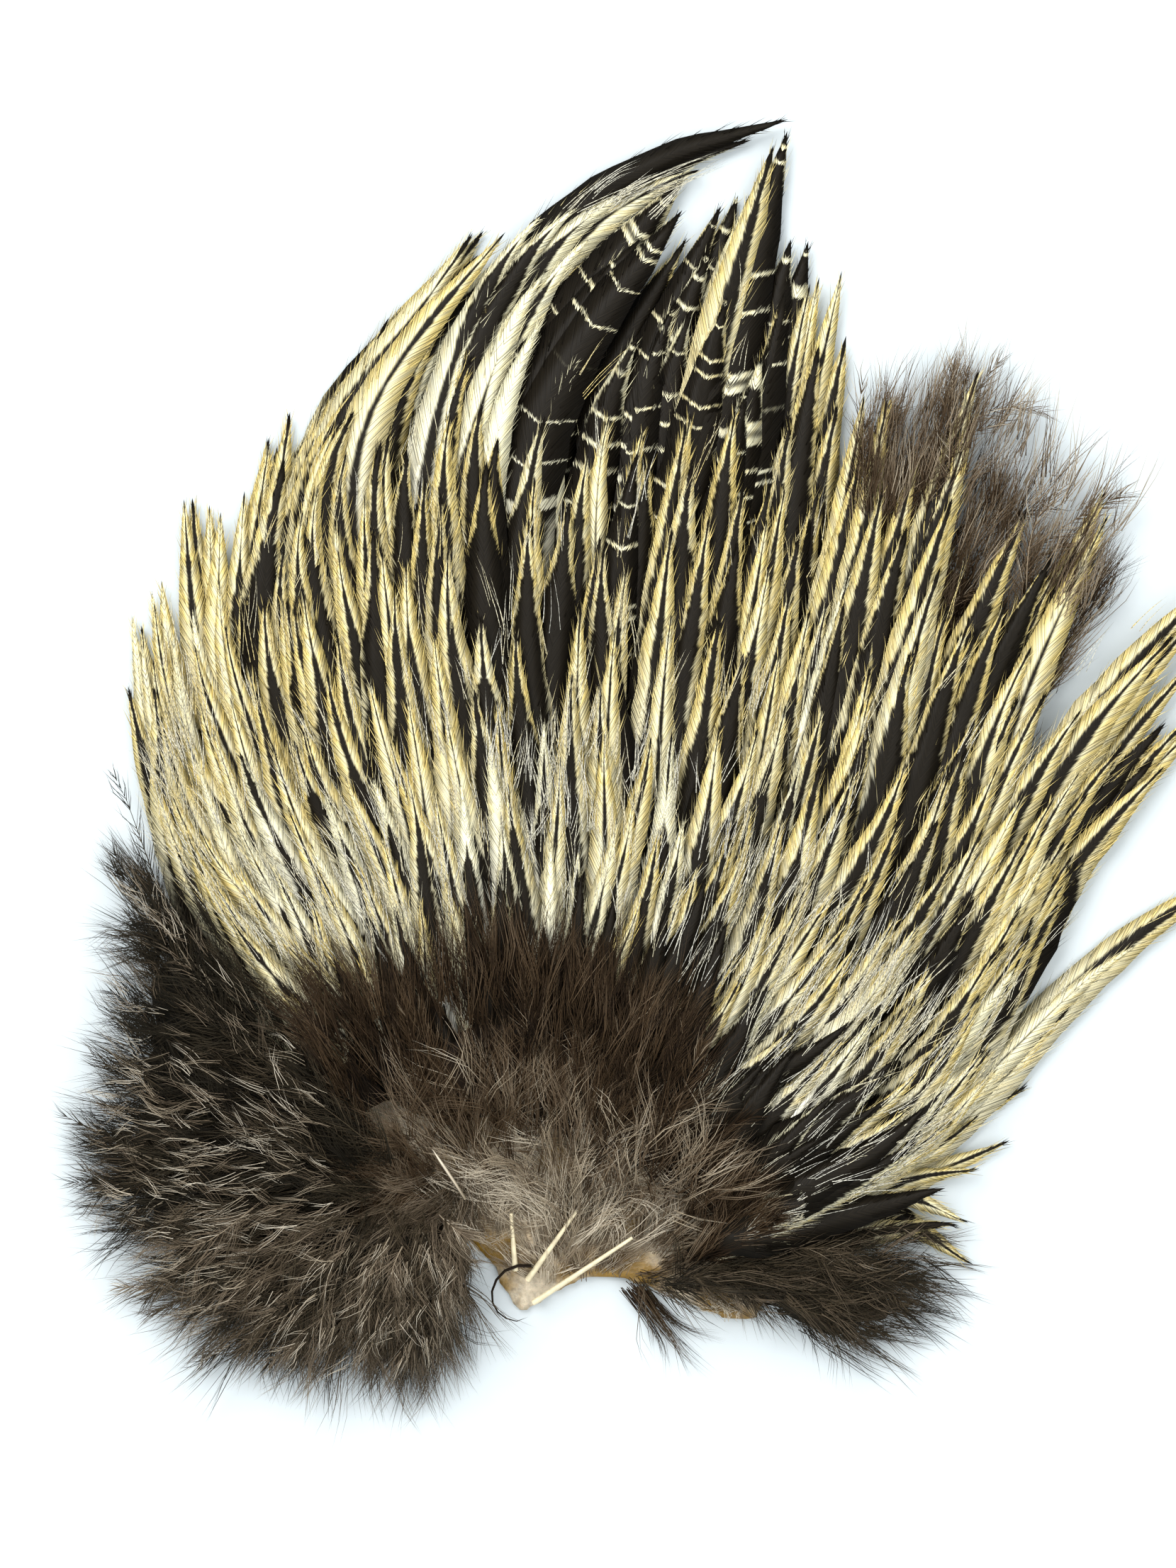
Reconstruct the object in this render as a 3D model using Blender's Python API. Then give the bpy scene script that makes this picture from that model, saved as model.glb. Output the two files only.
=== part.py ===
"""Rooster saddle hackle: a dried patch of hide with the feathers that grow from it.

The patch lies on its hide with the long pointed feathers fanned out towards +Y.
Feathers overlap like shingles: those rooted nearest the fan's far edge lie lowest.
Places are read in a top view of 1659 by 2212 picture units, and become metres here.
"""

import bpy
import bmesh
import math
import numpy as np

# Driving dimensions, in metres unless said otherwise
VIEW_CENTRE = (829.5, 1106.0)     # middle of the top view, in picture units
PICTURE_UNIT = 0.000105           # one picture unit on the table
EYE_HEIGHT = 0.40                 # height that the top view is seen from
HIDE_THICKNESS = 0.0012
HIDE_RIM = 0.0003                 # how much the hide's middle stands above its rim
HIDE_BEVEL = 0.0006               # how far in from its edge it has reached that height
CLEARANCE = 0.0003                # gap between neighbouring pieces
VANE_DEPTH = 0.0005               # a feather's thickness at its shaft
VANE_UNDER = 0.0002               # part of that thickness below its middle
VANE_SHOULDER = 0.00012           # height of the vane half way to its edge
FEATHER_PITCH = 0.0008            # rise from one layer of feathers to the next
TABLE_LIFT = 0.00035              # middle of the lowest feather above the table
DOWN_PITCH = 0.0036               # rise from one layer of side down to the next
DOWN_THICKNESS = 0.0033
CROWN_THICKNESS = 0.0042
FLANK_RISE = 0.0026               # how far the flank's down lifts the feathers on it
QUILL_RADIUS = 0.00045            # at its root
QUILL_BOW = 0.0003                # how far its middle arches up

# The fan's guide lines. Each runs from its root on the hide (t = 0) to its tip (t = 1)
# through points a fifth of its length apart, in picture units, clockwise from the bottom.
GUIDES = (
    ("bottom_right_lock", (625, 1700), (640, 1740), (645, 1780), (643, 1820), (640, 1860), (640, 1900)),
    ("bottom_lock", (600, 1705), (600, 1760), (598, 1818), (592, 1876), (585, 1932), (577, 1990)),
    ("bottom_left_lock", (580, 1705), (555, 1760), (530, 1820), (505, 1880), (478, 1938), (455, 1997)),
    ("corner_lock", (560, 1700), (505, 1755), (445, 1810), (385, 1863), (320, 1917), (255, 1972)),
    ("low_left_lock", (550, 1690), (470, 1730), (385, 1768), (300, 1806), (215, 1842), (130, 1880)),
    ("left_spread", (545, 1680), (450, 1690), (355, 1700), (262, 1712), (168, 1728), (75, 1748)),
    ("left_lock", (545, 1672), (450, 1660), (355, 1645), (260, 1632), (165, 1618), (70, 1600)),
    ("left_high_lock", (550, 1665), (455, 1625), (360, 1585), (265, 1545), (172, 1508), (85, 1475)),
    ("shoulder_lock", (560, 1660), (465, 1580), (370, 1500), (275, 1425), (185, 1355), (105, 1290)),
    ("top_left_lock", (570, 1655), (480, 1545), (385, 1440), (290, 1330), (205, 1215), (135, 1100)),
    ("pale_edge", (575, 1655), (470, 1510), (365, 1375), (270, 1225), (215, 1050), (183, 872)),
    ("left_tall", (600, 1670), (515, 1470), (430, 1310), (345, 1130), (285, 930), (266, 695)),
    ("left_pair", (625, 1690), (565, 1480), (500, 1290), (420, 1090), (375, 850), (412, 575)),
    ("shoulder", (660, 1710), (620, 1470), (560, 1230), (480, 960), (470, 640), (703, 300)),
    ("tall_side", (700, 1730), (690, 1440), (655, 1140), (615, 830), (650, 520), (850, 262)),
    ("frayed", (745, 1750), (748, 1450), (735, 1150), (725, 850), (765, 540), (978, 245)),
    ("centre", (785, 1762), (802, 1470), (820, 1170), (835, 870), (880, 570), (1008, 290)),
    ("second_tall", (815, 1770), (850, 1500), (925, 1230), (970, 900), (1025, 540), (1112, 185)),
    ("pale_spike", (845, 1775), (905, 1520), (1005, 1280), (1070, 1000), (1125, 690), (1187, 380)),
    ("short_dark", (870, 1780), (945, 1550), (1065, 1340), (1145, 1090), (1205, 820), (1256, 560)),
    ("flank_left", (890, 1780), (985, 1580), (1115, 1365), (1222, 1145), (1290, 860), (1392, 520)),
    ("flank_right", (905, 1785), (1025, 1610), (1190, 1430), (1320, 1210), (1425, 960), (1565, 690)),
    ("right_upper", (915, 1790), (1060, 1650), (1240, 1500), (1380, 1290), (1530, 1030), (1735, 795)),
    ("right_middle", (920, 1795), (1075, 1685), (1270, 1570), (1410, 1380), (1530, 1190), (1715, 985)),
    ("right_lower", (925, 1800), (1085, 1710), (1280, 1630), (1420, 1490), (1560, 1350), (1765, 1215)),
    ("amber_edge", (930, 1805), (1050, 1740), (1180, 1700), (1300, 1630), (1400, 1540), (1500, 1430)),
    ("hook", (935, 1810), (1000, 1762), (1100, 1738), (1210, 1728), (1300, 1738), (1380, 1765)),
    ("right_lock", (930, 1815), (1010, 1790), (1095, 1800), (1180, 1825), (1260, 1845), (1335, 1875)),
    ("low_right_lock", (915, 1815), (975, 1805), (1035, 1820), (1090, 1850), (1150, 1890), (1212, 1932)),
    ("hide_wisp", (885, 1800), (905, 1810), (922, 1828), (938, 1850), (955, 1873), (975, 1900)),
)

# The tallest feather follows one guide and leaves it near the tip to bend over to the right
TALL_CURVE = ((700, 1730), (690, 1440), (655, 1140), (615, 830), (652, 560),
              (757, 350), (920, 230), (1112, 168))
TALL_GUIDE = 14.0                 # the guide it follows
TALL_SHARE = 1.4                  # its length in lengths of that guide
TALL_HALF_WIDTH = 0.0074

# Places in the fan: s counts guides, t runs along them
FEATHERS = (9.8, 26.3)            # s range of the long feathers
FLANK = (19.2, 22.2)              # s range of the flank's down
FLANK_BORDER = 1.2                # guides over which the lift at the flank fades
FLANK_LIFT = (0.37, 0.61)         # t range in which the flank's down lifts them
HIDE_REACH = 0.25                 # t of the hide's far edge
SLOPE_START = 0.29                # t where the feathers leave the hide's level
SLOPE_END = 0.45                  # t where they have come down to the table
ROOT_STEP = 0.0225                # distance in t between one layer's roots and the next
CROWN_LAYER = 10
STATIONS = (0.25, 0.29, 0.37, 0.45, 0.53, 0.61, 0.69, 0.77, 0.85, 0.93)

# Tips of the feathers that make the outline, in picture units, clockwise from the left,
# each with its half width in metres
OUTLINE_TIPS = (
    ((185, 874), 0.0058), ((266, 697), 0.0066), ((306, 727), 0.0066), ((412, 577), 0.0078),
    ((500, 530), 0.0084), ((700, 302), 0.0090), ((974, 250), 0.0098), ((1032, 285), 0.0090),
    ((1110, 190), 0.0088), ((1187, 382), 0.0084), ((1256, 562), 0.0082), ((1391, 523), 0.0080),
    ((1564, 692), 0.0078), ((1733, 797), 0.0074), ((1713, 987), 0.0066), ((1640, 1074), 0.0062),
    ((1762, 1217), 0.0062), ((1498, 1432), 0.0070),
)
OUTLINE_LAYERS = 3

# The shorter feathers: name, first layer, number of layers, half width, and their tips in (s, t)
SHORTER_ROWS = (
    ("upper_feather", 3, 2, 0.0088,
     ((11.8, 0.84), (13.7, 0.80), (15.4, 0.84), (17.4, 0.84), (20.0, 0.80), (23.0, 0.80))),
    ("middle_feather", 5, 2, 0.0086,
     ((10.7, 0.66), (12.7, 0.62), (14.6, 0.63), (16.5, 0.62), (18.8, 0.62), (21.4, 0.64), (24.4, 0.72))),
    ("lower_feather", 7, 2, 0.0074,
     ((12.2, 0.45), (14.8, 0.47), (17.4, 0.46), (20.6, 0.48), (24.7, 0.60))),
    ("black_feather", 9, 1, 0.0074,
     ((15.2, 0.34), (17.9, 0.38), (21.0, 0.36))),
)

# Tufts of down: name, s range, root t, tip t, layer, locks and how far the locks part
SIDE_TUFTS = (
    ("left_down_1", 7.05, 9.30, 0.22, 1.00, 0, 6, 0.16),
    ("left_down_2", 4.75, 6.90, 0.22, 1.00, 0, 6, 0.17),
    ("left_down_3", 2.55, 4.60, 0.22, 1.00, 0, 5, 0.17),
    ("left_down_4", -0.20, 2.40, 0.22, 1.00, 0, 6, 0.18),
    ("left_down_5", 6.25, 9.25, 0.15, 0.80, 1, 6, 0.14),
    ("left_down_6", 3.25, 6.05, 0.15, 0.80, 1, 6, 0.14),
    ("left_down_7", 0.30, 3.05, 0.15, 0.80, 1, 5, 0.15),
    ("left_down_8", 1.20, 8.90, 0.08, 0.60, 2, 8, 0.13),
)
SIDE_ROOTS = (0.22, 0.15, 0.08)
SIDE_STATIONS = (0.15, 0.22, 0.29, 0.45, 0.62, 0.80)
RIGHT_TUFTS = (
    ("right_down_1", 26.55, 27.85, 0.14, 1.00, 0, 5, 0.15),
    ("right_down_2", 28.0, 29.2, 0.30, 1.00, 0, 3, 0.25),
)
RIGHT_THICKNESS = 0.0055
RIGHT_STATIONS = (0.35, 0.50, 0.65, 0.80)
RIGHT_SLOPE = (0.80, 1.00)        # t range in which the right down comes off the hide
CROWN_TUFTS = (
    ("crown_down_1", 10.2, 14.1, 0.060, 0.40, 5, 0.08),
    ("crown_down_2", 14.3, 18.6, 0.060, 0.36, 5, 0.08),
    ("crown_down_3", 18.9, 25.2, 0.060, 0.36, 6, 0.08),
)
CROWN_STATIONS = (0.13, 0.19, 0.25, 0.29)
FLANK_TUFTS = (
    ("flank_down_1", 19.05, 20.15, 1.00, 5, 0.13),
    ("flank_down_2", 20.25, 21.15, 1.05, 5, 0.14),
    ("flank_down_3", 21.25, 22.20, 0.97, 6, 0.15),
)
FLANK_ROOT = 0.40
FLANK_STATIONS = (0.45, 0.53, 0.61, 0.69, 0.77)

# The hide's lower edge, which shows, from its left end to the ruffle at its right, in picture units
HIDE_EDGE = ((605, 1738), (655, 1750), (694, 1782), (705, 1812), (722, 1838), (737, 1852), (757, 1842),
             (790, 1822), (830, 1803), (880, 1806), (930, 1822), (985, 1846), (1030, 1864), (1060, 1866),
             (1075, 1848), (1080, 1815))

# Bare quills: their ends in picture units and the heights of those ends
QUILLS = (
    ("bare_quill_1", (744, 1806), (818, 1702), 0.0024, 0.0034),
    ("bare_quill_2", (752, 1838), (892, 1746), 0.0024, 0.0036),
    ("bare_quill_3", (727, 1792), (721, 1712), 0.0024, 0.0032),
)

FINISHES = {                      # base colour (linear), roughness
    "pale_vane": ((0.66, 0.55, 0.27, 1.0), 0.55),
    "striped_vane": ((0.38, 0.32, 0.16, 1.0), 0.55),
    "dark_vane": ((0.020, 0.017, 0.013, 1.0), 0.45),
    "dark_down": ((0.035, 0.028, 0.020, 1.0), 0.85),
    "brown_down": ((0.085, 0.064, 0.046, 1.0), 0.85),
    "dried_hide": ((0.46, 0.31, 0.06, 1.0), 0.40),
    "bare_quill": ((0.68, 0.60, 0.42, 1.0), 0.35),
}

GRID = np.array([guide[1:] for guide in GUIDES], float)


def spline_weights(x, count):
    """Rows and weights of the smooth curve through rows 0 to count - 1, straight past both ends."""
    low = np.clip(np.floor(x).astype(int), 0, count - 2)
    inside = np.clip(x - low, 0.0, 1.0)
    past = x - low - inside
    square = inside * inside
    cube = square * inside
    start = 2 * cube - 3 * square + 1
    leave = cube - 2 * square + inside + np.minimum(past, 0.0)
    arrive = cube - square + np.maximum(past, 0.0)
    return low, start, leave, 1.0 - start, arrive


def fan(s, t):
    """Picture place of the fan's point s guides round and t of the way from root to tip."""
    s, t = np.broadcast_arrays(np.asarray(s, float), np.asarray(t, float))
    shape = s.shape
    s = s.ravel()
    t = t.ravel()
    count = GRID.shape[1]
    slopes = np.gradient(GRID, axis=1)
    low, a, b, c, d = (w[None, :, None] if w.dtype != int else w
                       for w in spline_weights(t * (count - 1), count))
    lines = GRID[:, low] * a + slopes[:, low] * b + GRID[:, low + 1] * c + slopes[:, low + 1] * d
    turns = np.gradient(lines, axis=0)
    low, a, b, c, d = spline_weights(s, len(GRID))
    each = np.arange(len(s))
    weights = [w[:, None] for w in (a, b, c, d)]
    place = (lines[low, each] * weights[0] + turns[low, each] * weights[1]
             + lines[low + 1, each] * weights[2] + turns[low + 1, each] * weights[3])
    return place.reshape(shape + (2,))


def at_picture(place, height):
    """World x and y of a picture place seen at a height above the table."""
    scale = PICTURE_UNIT * (1.0 - np.asarray(height, float) / EYE_HEIGHT)
    place = np.asarray(place, float)
    return (place[..., 0] - VIEW_CENTRE[0]) * scale, (VIEW_CENTRE[1] - place[..., 1]) * scale


def fan_spread(s, t):
    """Metres from guide to guide at a place in the fan."""
    step = 0.05
    ahead = fan(s + step, t)
    behind = fan(s - step, t)
    return np.linalg.norm(ahead - behind, axis=-1) / (2 * step) * PICTURE_UNIT


def find_in_fan(place):
    """The (s, t) of a picture place, searched among the feathers' outer parts."""
    guides = np.linspace(*FEATHERS, 337)
    lengths = np.linspace(0.3, 1.0, 281)
    s, t = np.meshgrid(guides, lengths)
    away = np.linalg.norm(fan(s, t) - np.asarray(place, float), axis=-1)
    best = np.unravel_index(np.argmin(away), away.shape)
    return float(s[best]), float(t[best])


def ease(x):
    """A smooth step from 0 to 1."""
    x = np.clip(x, 0.0, 1.0)
    return x * x * (3.0 - 2.0 * x)


def flank_lift(s, t):
    """How far the flank's down lifts the feathers that cross it."""
    across = ease((s - FLANK[0]) / FLANK_BORDER + 1.0) * ease((FLANK[1] - s) / FLANK_BORDER + 1.0)
    return FLANK_RISE * across * ease((t - FLANK_LIFT[0]) / (FLANK_LIFT[1] - FLANK_LIFT[0]))


def ground(s, t):
    """Height of the lowest feather's middle: over the hide, then down to the table."""
    on_hide = HIDE_THICKNESS + HIDE_RIM + CLEARANCE + VANE_UNDER
    down = np.clip((t - SLOPE_START) / (SLOPE_END - SLOPE_START), 0.0, 1.0)
    return on_hide + (TABLE_LIFT - on_hide) * down + flank_lift(s, t)


def feather_height(s, t, layer):
    """Height of a feather's middle. Every layer rises from the hide at its own root line."""
    root = HIDE_REACH - layer * ROOT_STEP
    return ground(s, t) + FEATHER_PITCH * np.clip((t - root) / ROOT_STEP, 0.0, layer)


def side_height(s, t, layer):
    """Height of a side tuft's underside."""
    step = SIDE_ROOTS[0] - SIDE_ROOTS[1]
    climb = np.clip((t - SIDE_ROOTS[layer]) / step, 0.0, layer)
    return ground(0.0, t) - VANE_UNDER + DOWN_PITCH * climb


def right_height(s, t, layer):
    """Height of the underside of the down at the right, which leaves the hide later."""
    on_hide = HIDE_THICKNESS + HIDE_RIM + CLEARANCE
    down = np.clip((t - RIGHT_SLOPE[0]) / (RIGHT_SLOPE[1] - RIGHT_SLOPE[0]), 0.0, 1.0)
    return on_hide + (TABLE_LIFT - VANE_UNDER - on_hide) * down


def crown_height(s, t, layer):
    """Height of the underside of the down over the feathers' roots."""
    return feather_height(s, t, CROWN_LAYER) - VANE_UNDER


def flank_height(s, t, layer):
    """The flank's down lies on the table."""
    return np.full(np.shape(t), TABLE_LIFT - VANE_UNDER)


def flank_room(s, t):
    """How thick the flank's down may be under the feathers that cross it."""
    room = ground(s, t) - VANE_UNDER - CLEARANCE - flank_height(s, t, 0)
    return 0.9 * np.clip(room, 0.0002, None)


def make_material(name, finish):
    """A material of the piece's own."""
    colour, roughness = FINISHES[finish]
    material = bpy.data.materials.new(name + "_" + finish)
    material.use_nodes = True
    shader = material.node_tree.nodes["Principled BSDF"]
    shader.inputs["Base Color"].default_value = colour
    shader.inputs["Roughness"].default_value = roughness
    material.diffuse_color = colour
    return material


def finish_object(name, mesh, finish, smooth_angle):
    """Make the mesh an object with its own material."""
    mesh.materials.append(make_material(name, finish))
    mesh.shade_smooth()
    mesh.set_sharp_from_angle(angle=math.radians(smooth_angle))
    piece = bpy.data.objects.new(name, mesh)
    bpy.context.collection.objects.link(piece)
    return piece


def pillow(name, top, under, finish, smooth_angle):
    """A closed sheet: two grids of points that share their rim."""
    rows, columns = top.shape[:2]
    body = bmesh.new()
    upper = [[body.verts.new(top[i, j]) for j in range(columns)] for i in range(rows)]
    lower = [list(row) for row in upper]
    for i in range(1, rows - 1):
        for j in range(1, columns - 1):
            lower[i][j] = body.verts.new(under[i, j])
    for i in range(rows - 1):
        for j in range(columns - 1):
            corners = ((i, j), (i, j + 1), (i + 1, j + 1), (i + 1, j))
            body.faces.new([upper[a][b] for a, b in corners])
            body.faces.new([lower[a][b] for a, b in reversed(corners)])
    bmesh.ops.remove_doubles(body, verts=body.verts, dist=0.00001)
    bmesh.ops.triangulate(body, faces=body.faces)
    mesh = bpy.data.meshes.new(name)
    body.to_mesh(mesh)
    body.free()
    return finish_object(name, mesh, finish, smooth_angle)


def vane_width(u):
    """Half width of a feather as a share of its widest, u from root to tip."""
    rise = 0.13 + 0.87 * ease(u / 0.42)
    return rise * (1.0 - np.clip((u - 0.45) / 0.55, 0.0, 1.0) ** 1.7)


def feather(name, centre, side, heights, shares, half_width, room, finish):
    """A feather as one lens-shaped blade with its shaft along the top.

    centre holds its line in picture units, side the picture direction across it and
    heights a function of the place across. shares run from 0 at the root to 1 at the tip.
    room holds how far it may reach to its left and its right.
    """
    across = np.array((-1.0, -0.5, 0.0, 0.5, 1.0))
    widths = half_width * vane_width(shares)
    widths[-1] = 0.0
    left = np.minimum(widths, room[0])[:, None]
    right = np.minimum(widths, room[1])[:, None]
    offset = np.where(across < 0.0, left, right) * across
    places = centre[:, None, :] + side[:, None, :] * offset[..., None] / PICTURE_UNIT
    middle = heights(offset)
    lens = np.array((0.0, VANE_SHOULDER, VANE_DEPTH - VANE_UNDER, VANE_SHOULDER, 0.0))
    thin = np.minimum(1.0, 0.45 + widths / half_width)[:, None]
    top_z = middle + lens * thin
    under_z = middle - np.array((0.0, 0.6, 1.0, 0.6, 0.0)) * VANE_UNDER * thin
    top = np.stack((*at_picture(places, middle), top_z), axis=-1)
    under = np.stack((*at_picture(places, middle), under_z), axis=-1)
    top[-1] = (*at_picture(centre[-1], middle[-1, 2]), middle[-1, 2])
    return pillow(name, top, under, finish, 40)


def fan_feather(name, s, tip, layer, half_width, finish):
    """A feather that follows the fan's lines."""
    root = HIDE_REACH - layer * ROOT_STEP
    t = np.array([root] + [k for k in STATIONS if root + 0.01 < k < tip - 0.03] + [tip])
    if layer > 1:
        t = np.insert(t, 1, root + 0.5 * (STATIONS[0] - root))
    shares = (t - root) / (tip - root)
    centre = fan(np.full(len(t), s), t)
    spread = fan_spread(np.full(len(t), s), t)
    ahead = fan(np.full(len(t), s + 0.05), t)
    behind = fan(np.full(len(t), s - 0.05), t)
    side = ahead - behind
    side = side / np.linalg.norm(side, axis=1)[:, None]

    def heights(offset):
        return feather_height(s + offset / spread[:, None], t[:, None], layer)

    room = ((s - FEATHERS[0]) * spread, (FEATHERS[1] - s) * spread)
    return feather(name, centre, side, heights, shares, half_width, room, finish)


def tall_feather(name, layer, half_width, finish):
    """The tallest feather, which bends over to the right at the top."""
    points = np.array(TALL_CURVE, float)
    slopes = np.gradient(points, axis=0)
    root = (HIDE_REACH - layer * ROOT_STEP) / TALL_SHARE
    shares = np.append(0.0, np.linspace(0.06, 1.0, 14))
    along = root + (1.0 - root) * shares
    low, a, b, c, d = spline_weights(along * (len(points) - 1), len(points))
    a, b, c, d = (w[:, None] for w in (a, b, c, d))
    centre = points[low] * a + slopes[low] * b + points[low + 1] * c + slopes[low + 1] * d
    run = np.gradient(centre, axis=0)
    run = run / np.linalg.norm(run, axis=1)[:, None]
    side = np.stack((-run[:, 1], run[:, 0]), axis=1)
    t = along * TALL_SHARE

    def heights(offset):
        return feather_height(np.full(offset.shape, TALL_GUIDE), t[:, None], layer)

    room = (half_width, half_width)
    return feather(name, centre, side, heights, shares, half_width, room, finish)


def tuft(name, s_range, t_list, tip, parting, locks, underside, layer, thickness, finish):
    """A tuft of down: a thick sheet whose end parts into pointed locks with ridges."""
    columns = 2 * locks + 1
    s = np.linspace(s_range[0], s_range[1], columns)
    ridge = np.arange(columns) % 2
    s = np.repeat(s[None, :], len(t_list) + 1, axis=0)
    t = np.repeat(np.append(t_list, tip)[:, None], columns, axis=1)
    longer = 0.5 + 0.5 * np.sin(np.arange(columns) * 2.4)
    t[-1] = tip - np.where(ridge == 1, 0.35 * longer, 1.0) * parting
    bottom = underside(s, t, layer)
    u = (t - t_list[0]) / (tip - t_list[0])
    along = np.sin(np.pi * np.clip(u, 0.0, 1.0) ** 0.75) ** 0.6
    round_off = np.sin(np.pi * np.linspace(0.0, 1.0, columns)) ** 0.4
    bulge = thickness(s, t) * along * round_off * np.where(ridge == 1, 1.0, 0.68)
    top_z = bottom + bulge
    rim = np.ones(top_z.shape, bool)
    rim[1:-1, 1:-1] = False
    top_z[rim] = bottom[rim] + 0.0002
    places = fan(s, t)
    top = np.stack((*at_picture(places, top_z), top_z), axis=-1)
    under = np.stack((*at_picture(places, top_z), bottom), axis=-1)
    return pillow(name, top, under, finish, 50)


def hide_outline():
    """The hide's outline: its far edge across the fan, then the lower edge that shows."""
    far = fan(np.arange(2.0, 27.5, 1.0), np.full(26, HIDE_REACH - 0.01))
    return [tuple(place) for place in far] + [tuple(place) for place in reversed(HIDE_EDGE)]


def add_hide():
    """The dried hide: a flat plate whose top swells a little inside its rim."""
    body = bmesh.new()
    corners = []
    for place in hide_outline():
        x, y = at_picture(place, 0.0)
        corners.append(body.verts.new((x, y, 0.0)))
    base = body.faces.new(corners)
    raised = bmesh.ops.extrude_face_region(body, geom=[base])
    top = [item for item in raised["geom"] if isinstance(item, bmesh.types.BMFace)]
    bmesh.ops.translate(body, verts=top[0].verts, vec=(0.0, 0.0, HIDE_THICKNESS))
    bmesh.ops.recalc_face_normals(body, faces=body.faces)
    bmesh.ops.inset_region(body, faces=top, thickness=HIDE_BEVEL, depth=HIDE_RIM)
    mesh = bpy.data.meshes.new("hide")
    body.to_mesh(mesh)
    body.free()
    return finish_object("hide", mesh, "dried_hide", 35)


def add_quill(name, start, end, start_height, end_height):
    """A bare quill: a slender tapered tube, slightly bowed."""
    line = bpy.data.curves.new(name, "CURVE")
    line.dimensions = "3D"
    line.bevel_depth = QUILL_RADIUS
    line.bevel_resolution = 1
    line.use_fill_caps = True
    run = line.splines.new("POLY")
    run.points.add(4)
    for i, point in enumerate(run.points):
        share = i / 4
        height = start_height + (end_height - start_height) * share
        place = np.array(start) * (1.0 - share) + np.array(end) * share
        x, y = at_picture(place, height)
        point.co = (x, y, height + QUILL_BOW * math.sin(math.pi * share), 1.0)
        point.radius = 1.0 - 0.3 * share
    line.materials.append(make_material(name, "bare_quill"))
    quill = bpy.data.objects.new(name, line)
    bpy.context.collection.objects.link(quill)
    return quill


def add_outline_feathers():
    """The long feathers whose tips make the outline, dealt over the lowest layers."""
    pieces = [tall_feather("tall_feather", 2, TALL_HALF_WIDTH, "dark_vane")]
    for number, (place, half_width) in enumerate(OUTLINE_TIPS, start=1):
        s, tip = find_in_fan(place)
        layer = number % OUTLINE_LAYERS
        name = f"long_feather_{number:02d}"
        pieces.append(fan_feather(name, s, tip, layer, half_width, "pale_vane"))
    return pieces


def add_shorter_feathers():
    """The rows of shorter feathers that lie on the long ones."""
    pieces = []
    for row, first_layer, layers, half_width, tips in SHORTER_ROWS:
        finish = "dark_vane" if row == "black_feather" else "striped_vane"
        for number, (s, tip) in enumerate(tips, start=1):
            layer = first_layer + number % layers
            pieces.append(fan_feather(f"{row}_{number}", s, tip, layer, half_width, finish))
    return pieces


def add_side_down():
    """The down at the left, the bottom and the lower right."""
    pieces = []
    for name, first, last, root, tip, layer, locks, parting in SIDE_TUFTS:
        t_list = [root] + [k for k in SIDE_STATIONS if root + 0.01 < k < tip - parting - 0.01]
        pieces.append(tuft(name, (first, last), t_list, tip, parting, locks, side_height,
                           layer, lambda s, t: DOWN_THICKNESS, "dark_down"))
    for name, first, last, root, tip, layer, locks, parting in RIGHT_TUFTS:
        t_list = [root] + [k for k in RIGHT_STATIONS if root + 0.01 < k < tip - parting]
        pieces.append(tuft(name, (first, last), t_list, tip, parting, locks, right_height,
                           layer, lambda s, t: RIGHT_THICKNESS, "dark_down"))
    return pieces


def add_crown_down():
    """The fluff that covers the feathers' roots."""
    pieces = []
    for name, first, last, root, tip, locks, parting in CROWN_TUFTS:
        t_list = [root] + [k for k in CROWN_STATIONS if k < tip - parting - 0.01]
        pieces.append(tuft(name, (first, last), t_list, tip, parting, locks, crown_height,
                           CROWN_LAYER, lambda s, t: CROWN_THICKNESS, "brown_down"))
    return pieces


def add_flank_down():
    """The brown down of the flank, under the long feathers at the upper right."""
    pieces = []
    for name, first, last, tip, locks, parting in FLANK_TUFTS:
        t_list = [FLANK_ROOT] + list(FLANK_STATIONS)
        pieces.append(tuft(name, (first, last), t_list, tip, parting, locks, flank_height,
                           0, flank_room, "brown_down"))
    return pieces


def centre_on_origin(pieces):
    """Hang every piece on one empty, and stand the middle of their base on the origin."""
    bpy.context.view_layer.update()
    graph = bpy.context.evaluated_depsgraph_get()
    corners = []
    for piece in pieces:
        evaluated = piece.evaluated_get(graph)
        mesh = evaluated.to_mesh()
        corners.extend((piece.matrix_world @ vertex.co)[:] for vertex in mesh.vertices)
        evaluated.to_mesh_clear()
    corners = np.array(corners)
    middle = 0.5 * (corners.min(axis=0) + corners.max(axis=0))
    patch = bpy.data.objects.new("patch_frame", None)
    bpy.context.collection.objects.link(patch)
    for piece in pieces:
        piece.parent = patch
    patch.location = (-middle[0], -middle[1], -corners[:, 2].min())


def clear_scene():
    """Remove what the scene holds."""
    for item in list(bpy.data.objects):
        bpy.data.objects.remove(item, do_unlink=True)


def main():
    clear_scene()
    pieces = [add_hide()]
    pieces += [add_quill(*quill) for quill in QUILLS]
    pieces += add_outline_feathers()
    pieces += add_shorter_feathers()
    pieces += add_side_down()
    pieces += add_crown_down()
    pieces += add_flank_down()
    centre_on_origin(pieces)


main()
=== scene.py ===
"""Rooster saddle hackle: the feathers, down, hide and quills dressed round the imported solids.

Feathers and down follow the same fan of guide lines as the solids, so each piece lies where
its solids lie. Places are read in a top view of 1659 by 2212 picture units.
"""
import math

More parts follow.
